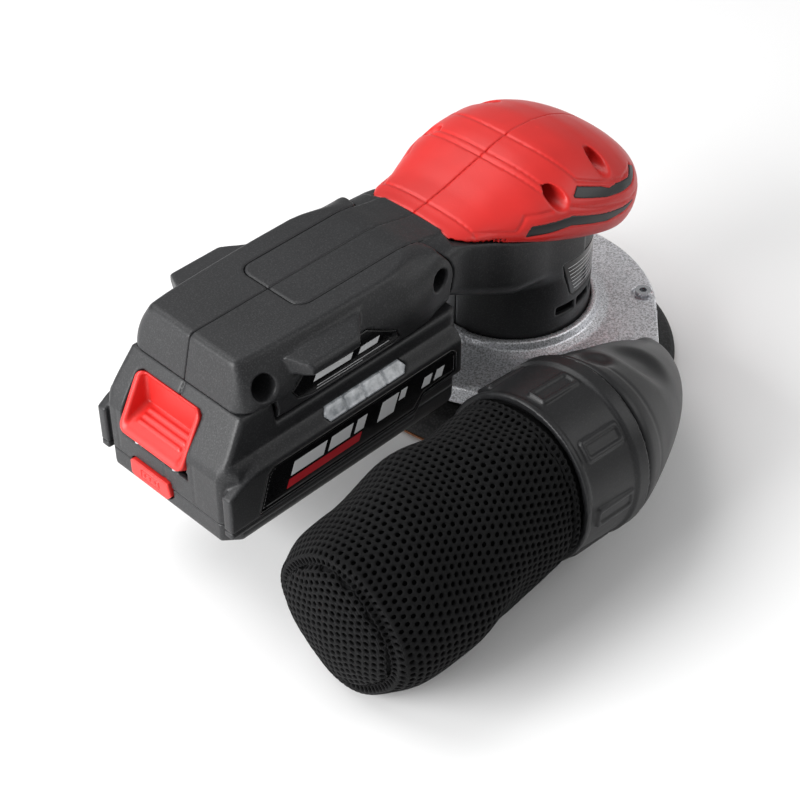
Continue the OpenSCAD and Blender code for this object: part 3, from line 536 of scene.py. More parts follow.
def housing_piece(side):
    def fn(x, y, z):
        outer = housing_outer(x, y, z)
        strip = smax(handle_outer(x, y, z), tongue(x, y) + 0.15, 0.5)
        strip = smax(strip, -handle_outer(x, y, z) - WALL, 0.4)
        body = smax(outer, -(outer + WALL), 0.4)
        body = smax(body, split_x(y, z) + 0.2 - x, 0.7)
        body = smax(body, np.minimum(parting(x, z) + 0.25, np.maximum(x + 61.4 + 0.006 * y * y, -50)), 0.6)
        d = smin(body, smax(strip, x + 62, 0.5), 0.5)
        r = np.hypot(x, y)
        angle = np.degrees(np.arctan2(y, x))
        for a in VENTS:
            off = np.abs((angle - a + 180) % 360 - 180)
            slot = smax(rect(np.radians(off) * r, z - 45, 5.0, 2.2, 0.8), 24 - r, 0.4)
            d = cut(d, smax(slot, r - 50, 0.4), 0.7)
        d = cut(d, box(x, y, z, (20, -14.3, 56.7), (50, 14.3, 73.3), 1.5), 0.6)
        d = cut(d, smax(np.hypot(x + 50, y - 20.6) - 13, np.abs(z - 86) - 3.4, 0.4), 0.6)
        if side < 0:
            across = (angle + RATING_TURN) * math.radians(1) * r + RATING_SLANT * (z - RATING_Z)
            plate = smax(smax(rect(across, z - RATING_Z, 15.6, 9.8, 2.0), 34.6 - r, 0.3), r - 40, 0.3)
            d = cut(d, plate, 0.5)
        far_side = np.where(side * y > 20, 0, 50)
        d = cut(d, np.sqrt((x + 51) ** 2 * 0.4 + (z - 67) ** 2) - 2.0 + far_side, 0.6)
        d = cut(d, np.hypot(x + 65, z - 74) - 2.2 + far_side, 0.6)
        return smax(d, 0.1 - side * y, 0.35)

    return fn


for side in (-1, 1):
    solid(f"housing_shell_{name_of[side]}", housing_piece(side), *span(side, (-142, 40), (0, 40), (30, 114)),
          "housing", "dark_plastic", (f"motor_housing_{name_of[side]}",))


def rating_panel(x, y, z):
    r = np.hypot(x, y)
    angle = np.arctan2(y, x) + math.radians(RATING_TURN)
    d = rect(angle * r + RATING_SLANT * (z - RATING_Z), z - RATING_Z, 15.2, 9.4, 1.6)
    return smax(d, np.abs(r - 34.95) - 0.35, 0.25)


solid("rating_panel", rating_panel, (-12, -36, 50), (32, -25, 71), "housing", "label", ("rating_plate",),
      step=STEP * 0.6)

# ---------------------------------------------------------------- red palm head

# x, z of the top, lift of the underside over the joint, half width of the underside, then half width and
# z of the widest place
HEAD = [(-62, 107.3, .12, 22.6, 22.8, 105.3), (-57, 108.1, .12, 26, 26.3, 103.8),
        (-45, 110.4, .12, 30, 30.6, 100.8), (-34, 113.2, .12, 33.4, 35.8, 98.6),
        (-23, 116, .12, 35.2, 41, 96.6), (-12, 118.8, .12, 36.2, 43.8, 94.4), (-2, 120, .12, 36.6, 45.4, 92.6),
        (8, 119.4, .12, 36.4, 46, 91.2), (18, 117.2, .12, 35, 45.2, 90), (28, 113.4, 1.2, 31, 42.4, 89.4),
        (36, 109, 3.4, 24.6, 38, 89), (43, 103.8, 7.8, 16.4, 31.6, 88.6), (49, 97.6, 12.2, 9.6, 23.4, 87.8),
        (53, 92, 16.4, 5, 14.8, 87)]
TIP = 55.6
head_mid = smooth_line([(r[0], r[5]) for r in HEAD] + [(TIP, 86.6)])
head_up = smooth_line([(r[0], (r[1] - r[5]) ** 2) for r in HEAD] + [(TIP, 0.02)])
head_down = smooth_line([(r[0], (r[5] - (83.5 - 0.345 * r[0] + r[2])) ** 2) for r in HEAD] + [(TIP, 0.02)])
head_wide = smooth_line([(r[0], r[4] ** 2) for r in HEAD] + [(TIP, 0.02)])
head_share = smooth_line([(r[0], r[3] / r[4]) for r in HEAD] + [(TIP, 0.1)])


def head_level(x, y, z):
    """Below zero inside the palm head; its slope is not even, so head_outer divides by it."""
    ay = np.abs(y)
    wide = np.sqrt(np.maximum(head_wide(x), 0.01))
    up = np.sqrt(np.maximum(head_up(x), 0.01))
    down = np.sqrt(np.maximum(head_down(x), np.where(x < 0, 9.0, 0.01)))
    edge = wide * head_share(x)
    h = z - head_mid(x)
    top = ((ay / wide) ** 2.174 + (np.maximum(h, 0) / up) ** 2.174) ** 0.46
    low = np.hypot(np.maximum(ay - edge, 0) / np.maximum(wide - edge, 0.3), np.maximum(-h, 0) / down)
    low = np.where(ay > edge, low, np.maximum(-h, 0) / down)
    return np.where(h > 0, top - 1, low - 1) * np.minimum(wide, 24)


def head_outer(x, y, z):
    e = 0.1
    f = head_level(x, y, z)
    g = np.sqrt(((head_level(x + e, y, z) - f) / e) ** 2 + ((head_level(x, y + e, z) - f) / e) ** 2
                + ((head_level(x, y, z + e) - f) / e) ** 2)
    d = f / np.clip(g, 0.35, 6)
    return smax(d, -(x + 61.6 + 0.006 * y * y) * 0.98, 0.8)


STRIPES = (
    [(-30.1, 102), (-32.8, 98.8), (-20.6, 98.4), (-13.2, 98.2), (6.2, 92), (19.6, 90.2), (27, 90.2),
     (16.7, 92.2), (3.2, 95.8), (-12.1, 101), (-20.1, 101.3)],
    [(-3.9, 109), (-7.3, 107.1), (8.4, 101.8), (17.2, 99.5), (27.7, 97.5), (37, 98.0), (34, 99.9), (27, 99.5),
     (16.7, 102.3), (11.5, 102.9), (7.3, 105.2)],
)
GROOVES = (
    [(-52.9, 105.2), (-36.8, 101.6), (-30.7, 106.0), (-20.2, 105.5)],
    [(-10.9, 104.6), (-2.6, 101.3), (10.1, 97.2), (24.5, 92.7), (43, 90.4), (56, 87.4)],
    [(-2.5, 111.1), (-1, 110.4), (9.2, 106.6), (22.5, 102.1), (34.6, 100.4)],
)
HEAD_HOLES = ((-14.9, 108.4), (14.5, 110.1))


def grooves(x, y, z):
    """Distance to the nearest moulded line on the head."""
    ay = np.abs(y)
    bow = (ay / 34) ** 2
    across = [(-54.0, 0.8, 26.5), (-22.6, 4.0, 36.2), (-19.2, 3.4, 35.2), (-7.6, 5.0, 35.6)]
    d = np.full(np.shape(x), 1e9)
    for at, lean, end in across:
        d = np.minimum(d, np.maximum(np.abs(x - at - lean * bow), ay - end))
    for line in GROOVES:
        d = np.minimum(d, np.maximum(path(x, z, line), 24 - ay))
    return d


def head_piece(side):
    def fn(x, y, z):
        outer = head_outer(x, y, z)
        d = outer + 0.55 * np.exp(-(grooves(x, y, z) / 0.5) ** 2)
        for at in HEAD_HOLES:
            d = cut(d, smax(hole(x, z, at, 4.0), 20 - side * y, 0.4), 1.0)
        for stripe in STRIPES:
            d = cut(d, smax(smax(polygon(x, z, stripe) - 0.6, -(outer + 0.5), 0.2), 20 - side * y, 0.2), 0.3)
        d = smax(d, -(outer + WALL), 0.4)
        d = smax(d, 0.3 - parting(x, z), 0.9)
        for at in HEAD_HOLES:
            post = smax(smax(hole(x, z, at, 5.6), outer + 0.3, 0.6), 0.08 - side * y, 0.4)
            d = smin(d, cut(post, smax(hole(x, z, at, 4.0), 24 - side * y, 0.4), 0.8), 0.3)
        return smax(d, 0.05 - side * y, 0.3)

    return fn


for side in (-1, 1):
    solid(f"palm_head_{name_of[side]}", head_piece(side), *span(side, (-63, 57), (0, 47), (62, 121)),
          "housing", "red_plastic", (f"head_{name_of[side]}",))
    for i, stripe in enumerate(STRIPES):
        def inlay(x, y, z, stripe=stripe, side=side):
            d = smax(head_outer(x, y, z) + 0.15, -(head_outer(x, y, z) + 1.5), 0.2)
            for at in HEAD_HOLES:
                d = cut(d, hole(x, z, at, 4.4), 0.3)
            return smax(smax(d, polygon(x, z, stripe) - 0.5, 0.3), 20 - side * y, 0.2)

        solid(f"head_stripe_{name_of[side]}_{i}", inlay, *span(side, (-36, 50), (20, 47), (84, 111)),
              "housing", "stripe", step=STEP * 0.55)

# ---------------------------------------------------------------- battery

BOTTOM, SEAM = 38.0, 47.8
REAR = -198.5
BATTERY_SIDE = [(REAR, BOTTOM), (REAR, 70), (-184, 92), (-168, 92), (-168, 82), (-70, 82), (-70, 50),
                (-78, BOTTOM)]
BATTERY_SECTION = [(-1, 93), (31.6, 93), (33.4, 82), (34.2, 76.2), (39.0, 70.4), (39.5, 69),
                   (39.5, BOTTOM + 3), (36.9, BOTTOM), (-1, BOTTOM)]
BATTERY_PLAN = [(REAR, 31.5), (-191.5, 37.5), (-77, 37.5), (-70, 31.5), (-70, -1), (REAR, -1)]
POD_SIDE = [(REAR, SEAM - 3), (REAR, 64.5), (-194, 67.5), (-182, 73.6), (-177, 83), (-73, 83), (-73, 54),
            (-96, 53), (-101, SEAM - 3)]
POD_PLAN = [(REAR, 30), (REAR, 39), (-197.6, 39.6), (-74, 39.6), (-71, 37), (-71, 30)]
LABEL = [(-184.5, 49), (-179, 66.2), (-175.4, 68.8), (-79.4, 68.8), (-76.4, 66.2), (-76.4, 55.6), (-95, 54.8),
         (-100.6, 49)]
WINDOW = [(-147.5, 73.4), (-145.2, 76.1), (-105.2, 76.1), (-103, 73.2), (-105.4, 70.8), (-145.4, 70.8)]
GAUGE = [(-4, 44.4), (-2.6, 50.4), (18.2, 50.4), (20, 48.9), (20, 42.8), (18.4, 41.6), (-1.6, 41.6)]


def battery_main(x, y, z):
    ay = np.abs(y)
    d = smax(polygon(x, z, BATTERY_SIDE), polygon(ay, z, BATTERY_SECTION), 2.2)
    return smax(d, polygon(x, ay, BATTERY_PLAN), 2.6)


def battery_outer(x, y, z):
    ay = np.abs(y)
    pod = smax(smax(polygon(x, z, POD_SIDE), polygon(ay, z, BATTERY_SECTION), 1.6), 34.5 - ay, 1.0)
    pod = smax(pod, polygon(x, ay, POD_PLAN), 0.8)
    return smin(battery_main(x, y, z), pod, 0.9)


def latch_room(x, y, z, grow):
    n = -0.8805 * (x + 199.5) + 0.474 * (z - 66.2)
    s = 0.474 * (x + 199.5) + 0.8805 * (z - 66.2)
    d = rect(s - 10.6, y - 5, 13.3 + grow, 18.7 + grow, 3.8)
    d = smax(d, np.abs(n + 5.4) - 5.6 - grow, 0.8)
    return smax(d, 62.3 - grow - z, 0.6)


def battery_hollow(x, y, z):
    d = battery_outer(x, y, z)
    for side in (-1, 1):
        d = cut(d, smax(polygon(x, z, LABEL), 38.75 - side * y, 0.2), 0.35)
        bed = smax(polygon(x, z, WINDOW), -(battery_outer(x, y, z) + 1.8), 0.2)
        d = cut(d, bed + np.where(side * y > 30, 0, 30), 0.3)
    d = cut(d, smax(polygon(y, z, GAUGE) - 0.5, x + 189, 0.3), 0.3)
    return smax(d, -(battery_main(x, y, z) + WALL), 0.4)


def battery_top(x, y, z):
    d = battery_hollow(x, y, z)
    d = cut(d, latch_room(x, y, z, 0.35), 0.5)
    d = cut(d, box(x, y, z, (-203, -14.2, 58.6), (-189, 24.2, 63), 0.5), 0.4)
    # shallow creases beside the latch
    for at in (-17.4, 27.6):
        line = np.abs(y - at) - 0.5
        d = cut(d, smax(smax(line, z - 72, 0.3), np.maximum(50 - z, x + 197.9), 0.3), 0.5)
    for at in (-6, 16):  # cups round the latch's springs
        cup = smax(np.hypot(x + 197.2, y - at) - 2.1, np.abs(z - 60.4) - 2.0, 0.3)
        d = smin(d, smax(cup, battery_outer(x, y, z) + 0.5, 0.3), 0.3)
    flange = box(x, y, z, (-168.5, -26, 86.1), (-98.5, 26, 89.5), 0.5)
    deck = smin(flange, box(x, y, z, (-168.5, -21, 80), (-98.5, 21, 86.4), 0.4), 0.3)
    for at in (-14, -6, 6, 14):
        deck = cut(deck, box(x, y, z, (-125, at - 1.3, 78), (-85, at + 1.3, 92), 0.2), 0.4)
    d = smin(d, deck, 0.4)
    return smax(d, SEAM + 0.1 - z, 0.7)


def battery_base(x, y, z):
    d = smax(battery_hollow(x, y, z), z - SEAM + 0.1, 0.7)
    for at in ((-188, -30), (-188, 30), (-88, -28), (-88, 28)):
        d = cut(d, np.hypot(x - at[0], y - at[1]) - 1.9, 0.3)
    return d


solid("battery_shell_upper", battery_top, (-199, -41, 47), (-69, 41, 93), "battery", "dark_plastic",
      ("battery_case_upper",))
solid("battery_shell_lower", battery_base, (-199, -41, 37), (-69, 41, 48), "battery", "dark_plastic",
      ("battery_case_lower",))


def latch(x, y, z):
    d = latch_room(x, y, z, 0.0)
    scoop = polygon(x, z, [(-206, 63.5), (-197.0, 67.4), (-186.6, 71.6), (-186.2, 84.4), (-192, 92),
                           (-206, 92)])
    d = cut(d, smax(scoop, rect(y - 5, z - 80, 16.1, 16.5, 3.0), 2.2), 1.3)
    for at in ((-194.6, 68.3), (-191.8, 69.4), (-189.0, 70.5)):
        d = smin(d, smax(np.hypot(x - at[0], z - at[1]) - 0.75, np.abs(y - 5) - 12.6, 0.8), 0.7)
    return smax(d, x + 180, 0.5)


solid("battery_latch_scoop", latch, (-201, -15, 62), (-179, 25, 90), "latch", "red_plastic",
      ("battery_latch",), step=STEP * 0.75)


def gauge(x, y, z):
    d = smax(polygon(y, z, GAUGE), np.abs(x + 197.5) - 1.7, 0.6)
    frame_line = np.abs(rect(y - 8, z - 46, 5.2, 2.0, 0.6)) - 0.25
    bars = np.minimum(np.minimum(np.abs(y - 5), np.abs(y - 8)), np.abs(y - 11))
    icon = np.minimum(frame_line, np.maximum(bars - 0.35, np.abs(z - 46) - 1.0))
    return cut(d, smax(icon, x + 198.7, 0.1), 0.2)


solid("gauge_button_cap", gauge, (-200, -5, 41), (-195, 21, 51), "gauge", "red_plastic",
      ("gauge_button",), step=STEP * 0.55)

for side in (-1, 1):
    def panel(x, y, z, side=side):
        d = smax(polygon(x, z, LABEL) + 0.15, np.abs(side * y - 38.9) - 0.45, 0.3)
        edge = np.abs(polygon(x, z, LABEL) + 1.7) - 0.16
        return cut(d, smax(edge, 39.15 - side * y, 0.1), 0.1)

    def lens(x, y, z, side=side):
        outer = battery_outer(x, y, z)
        d = smax(smax(polygon(x, z, WINDOW) + 0.12, outer + 0.05, 0.5), -(outer + 1.7), 0.3)
        for at in (-136, -126, -115):
            d = cut(d, smax(np.abs(x - at) - 0.4, -(outer + 0.4), 0.2), 0.2)
        return d + np.where(side * y > 25, 0, 30)

    solid(f"battery_panel_{name_of[side]}", panel, *span(side, (-185, -76), (37.5, 40), (48.6, 69.2)),
          "battery", "label", (f"battery_label_{name_of[side]}",), step=STEP * 0.7)
    solid(f"battery_window_{name_of[side]}", lens, *span(side, (-148, -102), (31, 40), (70, 77)),
          "battery", "clear_plastic", ("battery_windows",) if side < 0 else (), step=STEP * 0.6)


def prints(name, patches, place, body, material, depth=0.12):
    """Thin raised patches of print: each outline in (u, v) becomes a closed strip."""
    verts, quads = [], []
    for (u0, v0), (u1, v1), lean in patches:
        cols = max(2, int(abs(u1 - u0) / 2.5) + 2)
        base = len(verts)
        for i in range(cols):
            u = u0 + (u1 - u0) * i / (cols - 1)
            for v, h in ((v0, -depth), (v0, depth), (v1, depth), (v1, -depth)):
                verts.append(place(u + lean * (v - v0), v, h))
        for i in range(cols - 1):
            a = base + 4 * i
            quads += [(a + k, a + (k + 1) % 4, a + 4 + (k + 1) % 4, a + 4 + k) for k in range(4)]
        quads += [(base, base + 3, base + 2, base + 1)]
        e = base + 4 * (cols - 1)
        quads += [(e, e + 1, e + 2, e + 3)]
    return mesh_object(name, verts, quads, body, material, smooth=False)


# Generic blocks and bars in place of wording: two corners of each, and its slant.
LEAN = 0.4
BLOCKS = [((u0, v0), (u1, v1), LEAN) for u0, u1, v0, v1 in (
    (-168, -151, 58.6, 64.4), (-148.5, -137, 58.6, 64.4), (-134.5, -129.5, 58.6, 64.4),
    (-122, -113, 56.6, 64.8), (-110, -106.6, 60.6, 64.8), (-97, -92.5, 59, 63.4), (-90, -85.6, 59, 63.4))]
HANDLE_BARS = [((-150, 91.6), (-131, 94.4), 0.5), ((-127, 91.6), (-117, 94.4), 0.5),
               ((-148, 88.2), (-110, 88.5), 0), ((-148, 86.6), (-124, 86.85), 0)]
RATING_BARS = [((-12.6, 53.6 + 2.1 * i), (12.4 - 3.1 * (i % 3), 53.9 + 2.1 * i), 0) for i in range(7)]

for side in (-1, 1):
    def on_battery(u, v, h, side=side):
        return (u, side * (39.36 + h), v)

    def on_handle(u, v, h, side=side):
        low, high = 28.0, 40.0
        for _ in range(24):
            mid = (low + high) / 2
            low, high = (mid, high) if handle_outer(u, mid, v) < -0.2 + h else (low, mid)
        return (u, side * low, v)

    prints(f"battery_print_{name_of[side]}", BLOCKS, on_battery, "battery", "print_white")
    prints(f"battery_stripe_{name_of[side]}", [((-170.4, 53.4), (-132, 57.2), LEAN)], on_battery, "battery",
           "print_red")
    prints(f"side_print_{name_of[side]}", HANDLE_BARS, on_handle, "housing", "print_white", depth=0.08)


def on_plate(u, v, h):
    a = -math.radians(RATING_TURN) + (u - RATING_SLANT * (v - RATING_Z)) / 35.3
    return ((35.3 + h) * math.cos(a), (35.3 + h) * math.sin(a), v)


prints("rating_print", RATING_BARS, on_plate, "housing", "print_white", depth=0.06)

# ---------------------------------------------------------------- cast cover and power button

OUTLET = [(40.1, -52), (20, -69.6), (19, -69.6), (19, -66.4), (-11, -66.4), (-15, -60), (10, -50)]


COVER_PROFILE = [(20.6, 27), (63, 27), (63, 19.6), (65.6, 19.6), (65.6, 28.4), (64.2, 30), (44, 30),
                 (40, 31.6), (38.6, 35), (36, 35), (36, 30.6), (20.6, 30.6)]
COVER_SCREW_ANGLES = (-42.5, 47.5, 137.5, 227.5)
COVER_SCREW_CIRCLE = 60


def cover(x, y, z):
    r = np.hypot(x, y)
    d = polygon(r, z, COVER_PROFILE)
    outlet = smax(polygon(x, y, OUTLET), np.abs(z - 22.3) - 7.7, 1.4)
    outlet = cut(outlet, r - 64.6, 0.3)
    outlet = cut(outlet, smax(np.hypot(x - 3, z - 27) - 17.8, y + 66.4, 0.3), 0.4)
    d = smin(d, outlet, 1.0)
    seat = smax(smax(r - 20.6, 14.02 - r, 0.3), np.abs(z - 34.5) - 7.5, 0.3)
    d = smin(d, seat, 0.3)
    off_spigot = np.hypot(x - 3, z - 26)
    spigot = smax(off_spigot - 9, np.abs(y + 72) - 8, 0.3)
    d = smin(d, smax(spigot, 64.6 - r, 0.2), 0.4)
    ay = np.abs(y)
    web = smax(smax(ay - 9 + 0.55 * np.maximum(z - 30, 0), np.abs(z - 32) - 3, 0.6), np.abs(x + 50) - 14, 0.6)
    d = smin(d, web, 1.6)
    under_web = z - 27.2 + np.where(y < -66.5, -50, 0)
    d = cut(d, smax(off_spigot - 6.8, np.maximum(y + 58, under_web), 0.2), 0.3)
    for a in COVER_SCREW_ANGLES:
        cx = COVER_SCREW_CIRCLE * math.cos(math.radians(a))
        cy = COVER_SCREW_CIRCLE * math.sin(math.radians(a))
        off = np.hypot(x - cx, y - cy)
        d = cut(d, smax(off - 5, 28.4 - z, 0.4), 0.7)
        d = cut(d, off - 2.3, 0.3)
    return d


solid("cast_cover_body", cover, (-66, -81, 19), (66, 66, 43), "housing", "silver_cast", ("cast_cover",))


def button(x, y, z):
    r = np.hypot(x, y)
    d = smax(smax(r - 38.4, 33.4 - r, 0.4), box(x, y, z, (29, -14, 57), (41, 14, 73), 1.6), 0.8)
    for at in (62, 65, 68):
        d = cut(d, smax(np.hypot(z - at, r - 38.6) - 0.6, np.abs(y) - 9, 0.5), 0.3)
    return d


solid("power_button_cap", button, (28, -15, 56), (41, 15, 74), "power_button_body", "red_plastic",
      ("power_button",), step=STEP * 0.7)

# ---------------------------------------------------------------- elbow and collar

MOUTH = np.array([-64, -93.6, 43.6])
PITCH = math.radians(5.3)
AXIS = np.array([-math.cos(PITCH), 0, math.sin(PITCH)])
START = np.array([3.0, -67.0, 27.0])
ELBOW_START_R, ELBOW_GROWTH = 17, 20.6


def elbow_shape(t):
    """Centre, direction, radius and squash of the elbow's tube at t from 0 to 1."""
    first, second = START + np.array([0, -9.0, 0]), MOUTH - 13 * AXIS

    def at(q):
        w = 1 - q
        return w**3 * START + 3 * w**2 * q * first + 3 * w * q * q * second + q**3 * MOUTH

    run = at(min(t + 0.01, 1)) - at(max(t - 0.01, 0))
    share = 0.8 * t**1.5 + 0.2 * math.sin(math.pi / 2 * t)
    r = ELBOW_START_R + ELBOW_GROWTH * share + 1.5 * math.sin(math.pi * t) ** 2
    return at(t), run / np.linalg.norm(run), r, 0.78 + 0.22 * min(1, 1.4 * t)


# centre, reach and depth of the elbow's moulded dents
DENTS = [((-26.0, -92.0, 63.0), 13.0, 3.4), ((-50.0, -88.0, 76.0), 7.0, 2.6)]


def elbow():
    around, along = 128, 84
    loops = []
    for inset in (0.0, WALL):
        rings = []
        for j in range(along + 1):
            t = j / along
            c, run, r, squash = elbow_shape(t)
            lip = 1.0 * math.exp(-((1 - t) / 0.012) ** 2) + 0.5 * math.exp(-((t - 0.9) / 0.006) ** 2)
            right = np.cross(run, (0, 0, 1))
            right /= np.linalg.norm(right)
            up = np.cross(right, run)
            a = 2 * math.pi * np.arange(around) / around
            ring = c + ((r - inset - (0 if inset else lip)) * np.cos(a))[:, None] * right
            ring = ring + ((r * squash - inset - (0 if inset else lip)) * np.sin(a))[:, None] * up
            for at, size, deep in DENTS:
                away = np.linalg.norm(ring - np.array(at), axis=1) / size
                spoke = ring - c
                length = np.linalg.norm(spoke, axis=1)[:, None]
                ring = ring - (deep * np.exp(-away**4))[:, None] * spoke / length
            rings.append(ring)
        loops.append(rings if not inset else rings[::-1])
    rings = loops[0] + loops[1]
    verts = np.concatenate(rings)
    quads = []
    for j in range(len(rings)):
        k = (j + 1) % len(rings)
        for i in range(around):
            n = (i + 1) % around
            quads.append((j * around + i, k * around + i, k * around + n, j * around + n))
    return mesh_object("elbow_body", verts, quads, "housing", "moulded_black", ("dust_elbow",))


elbow()
SIDE_AXIS = np.array([0, 1.0, 0])
UP_AXIS = np.cross(AXIS, SIDE_AXIS)


def bag_axes(x, y, z):
    dx, dy, dz = x - MOUTH[0], y - MOUTH[1], z - MOUTH[2]
    along = dx * AXIS[0] + dy * AXIS[1] + dz * AXIS[2]
    up = dx * UP_AXIS[0] + dy * UP_AXIS[1] + dz * UP_AXIS[2]
    return along, dy, up


COLLAR_R, COLLAR_LEN = 37.4, 36.0


def collar(x, y, z):
    u, v, w = bag_axes(x, y, z)
    r = np.hypot(v, w)
    R, L = COLLAR_R, COLLAR_LEN
    d = polygon(r, u, [(R - 6.2, -3.6), (R - 4.6, -3.6), (R - 4.6, 0.8), (R + 0.4, 0.8), (R + 0.4, 7),
                       (R - 0.8, 8.4), (R - 1.6, L - 3), (R - 1, L - 2.2), (R - 1, L), (R - 3.8, L),
                       (R - 3.8, 8)])
    angle = np.degrees(np.arctan2(w, v))
    near = np.abs((angle + 22.5) % 45 - 22.5)
    pad = smax(rect(np.radians(near) * r, u - 20, 4.4, 10.4, 1.2), np.abs(r - R + 1.4) - 1.4, 0.6)
    d = smin(d, pad, 0.9)
    dip = smax(rect(np.radians(near) * r, u - 20, 2.3, 9.0, 0.9), R - 0.9 - r, 0.4)
    return cut(d, dip, 0.9)


solid("bag_collar_ring", collar, (-102, -133, 2), (-57, -54, 86), "collar", "moulded_black", ("bag_collar",))

# ---------------------------------------------------------------- dust bag

# x, z and y of the centre, half width, half height, lean in degrees
BAG_ROWS = [(-100.6, 47, -94, 33.6, 33.4, 5.3), (-104, 46.9, -94, 34.2, 34.0, 4.6),
            (-112, 46.6, -94, 35.4, 35.2, 3.2), (-122, 46, -94, 36, 35.8, 2),
            (-138, 44.8, -93.8, 36.6, 36.6, 0), (-156, 42.4, -93.4, 37, 37.4, 0),
            (-172, 39.4, -92.8, 37, 37.6, 0), (-184, 37.4, -92.4, 36, 36.6, 0),
            (-191, 37.4, -92.4, 34, 34.4, 0), (-196, 38, -92.4, 30.6, 30.8, 0),
            (-199.4, 38.8, -92.4, 25, 25, 0), (-201.8, 39.6, -92.4, 16, 16, 0),
            (-203.0, 40, -92.4, 7, 7, 0), (-203.3, 40, -92.4, 0.3, 0.3, 0)]
ALONG, AROUND = 70, 96
CLOTH_FRAMES = 18
MOST_SHIFT = 3.2


def ring_quads(rings):
    """Quads that join each of these rings of the bag's grid to the next one."""
    here = [(j * AROUND, (j + 1) * AROUND) for j in rings]
    return [(a + i, a + (i + 1) % AROUND, b + (i + 1) % AROUND, b + i) for a, b in here for i in range(AROUND)]


def base_bag():
    """Grid of points of the bag's cloth, from its mouth to the middle of its end."""
    rows = np.array(BAG_ROWS)
    step = np.hypot(np.diff(rows[:, 0]), np.diff(rows[:, 3]))
    length = np.concatenate([[0], np.cumsum(step)])
    length, total = length / length[-1], length[-1]
    line = [smooth_line(np.stack([length, rows[:, k]], 1)) for k in range(6)]
    u = np.linspace(0, 1, ALONG + 1)
    x, cz, cy, hw, hh, lean = (fn(u)[:, None] for fn in line)
    a = 2 * math.pi * np.arange(AROUND) / AROUND
    # softly squared section, fuller towards the end of the bag
    square = 1 - 0.035 * np.clip((u - 0.3) * 3, 0, 1)[:, None] * np.cos(4 * (a - 0.75))
    side = hw * np.cos(a) * square
    up = hh * np.sin(a) * square
    return np.stack([x + up * np.tan(np.radians(lean)), cy + side, np.maximum(cz + up, 0.7)], -1), total


def bag_cloth():
    """The cloth under its own weight and a little pressure, held at its mouth, as a grid of points in mm."""
    grid, total = base_bag()
    rest = grid.reshape(-1, 3)
    mesh = bpy.data.meshes.new("bag_sim")
    mesh.from_pydata([tuple(p * MM) for p in rest], [], ring_quads(range(ALONG)))
    obj = bpy.data.objects.new("bag_sim", mesh)
    bpy.context.scene.collection.objects.link(obj)
    pins = obj.vertex_groups.new(name="pins")
    for j in range(ALONG + 1):
        weight = 1.0 if j < 3 else 0.0
        pins.add(list(range(j * AROUND, (j + 1) * AROUND)), weight, "REPLACE")
    mod = obj.modifiers.new("cloth", "CLOTH")
    cs = mod.settings
    cs.quality = 6
    cs.mass = 0.12
    cs.tension_stiffness = cs.compression_stiffness = 40
    cs.shear_stiffness = 10
    cs.bending_stiffness = 3
    cs.use_pressure = True
    cs.uniform_pressure_force = 0.6
    cs.vertex_group_mass = "pins"
    cs.air_damping = 6
    mod.collision_settings.use_collision = False
    bpy.context.scene.frame_start, bpy.context.scene.frame_end = 1, CLOTH_FRAMES + 2
    for frame_number in range(1, CLOTH_FRAMES + 1):
        bpy.context.scene.frame_set(frame_number)
    evaluated = obj.evaluated_get(bpy.context.evaluated_depsgraph_get())
    moved = np.array([v.co for v in evaluated.data.vertices]) / MM
    bpy.context.scene.frame_set(1)
    bpy.data.objects.remove(obj)
    shift = moved - rest
    size = np.linalg.norm(shift, axis=1)[:, None]
    shift = shift * np.minimum(1, MOST_SHIFT / np.maximum(size, 1e-6))
    out = rest + shift
    out[:, 2] = np.maximum(out[:, 2], 0.6)
    return out.reshape(grid.shape), total


def folds(u, a):
    """Soft folds and the hollows that the sewing pulls in, as an inward shift in mm."""
    pull = 1.2 * np.sin(5 * a + 6 * u) * np.exp(-((u - 0.08) / 0.09) ** 2)
    turned = np.angle(np.exp(1j * (a + 2.6)))
    pull = pull + 1.9 * np.exp(-((u - 0.4) / 0.09) ** 2) * np.exp(-(turned / 0.55) ** 2)
    middle = np.clip(u * 4, 0, 1) * np.clip((0.8 - u) * 6, 0, 1)
    waves = 0.9 * np.sin(9 * u + 2 * a) + 0.7 * np.sin(17 * u - 3 * a + 1) + 0.5 * np.sin(4 * a + 23 * u)
    pull += waves * middle
    # seam of the end panel
    pull += 2.4 * np.exp(-((u - 0.772 - 0.012 * np.sin(2 * a)) / 0.011) ** 2)
    pull -= 1.0 * np.exp(-((u - 0.745 - 0.012 * np.sin(2 * a)) / 0.016) ** 2)
    return pull


grid, BAG_LENGTH = bag_cloth()
U = np.linspace(0, 1, ALONG + 1)[:, None]
A = 2 * math.pi * np.arange(AROUND)[None] / AROUND
tangent_u = np.gradient(grid, axis=0)
tangent_a = np.roll(grid, -1, 1) - np.roll(grid, 1, 1)
normal = np.cross(tangent_u, tangent_a)
normal /= np.maximum(np.linalg.norm(normal, axis=2, keepdims=True), 1e-9)
centre = grid.mean(1, keepdims=True)
if ((grid - centre) * normal)[: ALONG // 2].sum() < 0:
    normal = -normal
normal[-2:] = AXIS
grid = grid - normal * folds(U, A)[..., None]


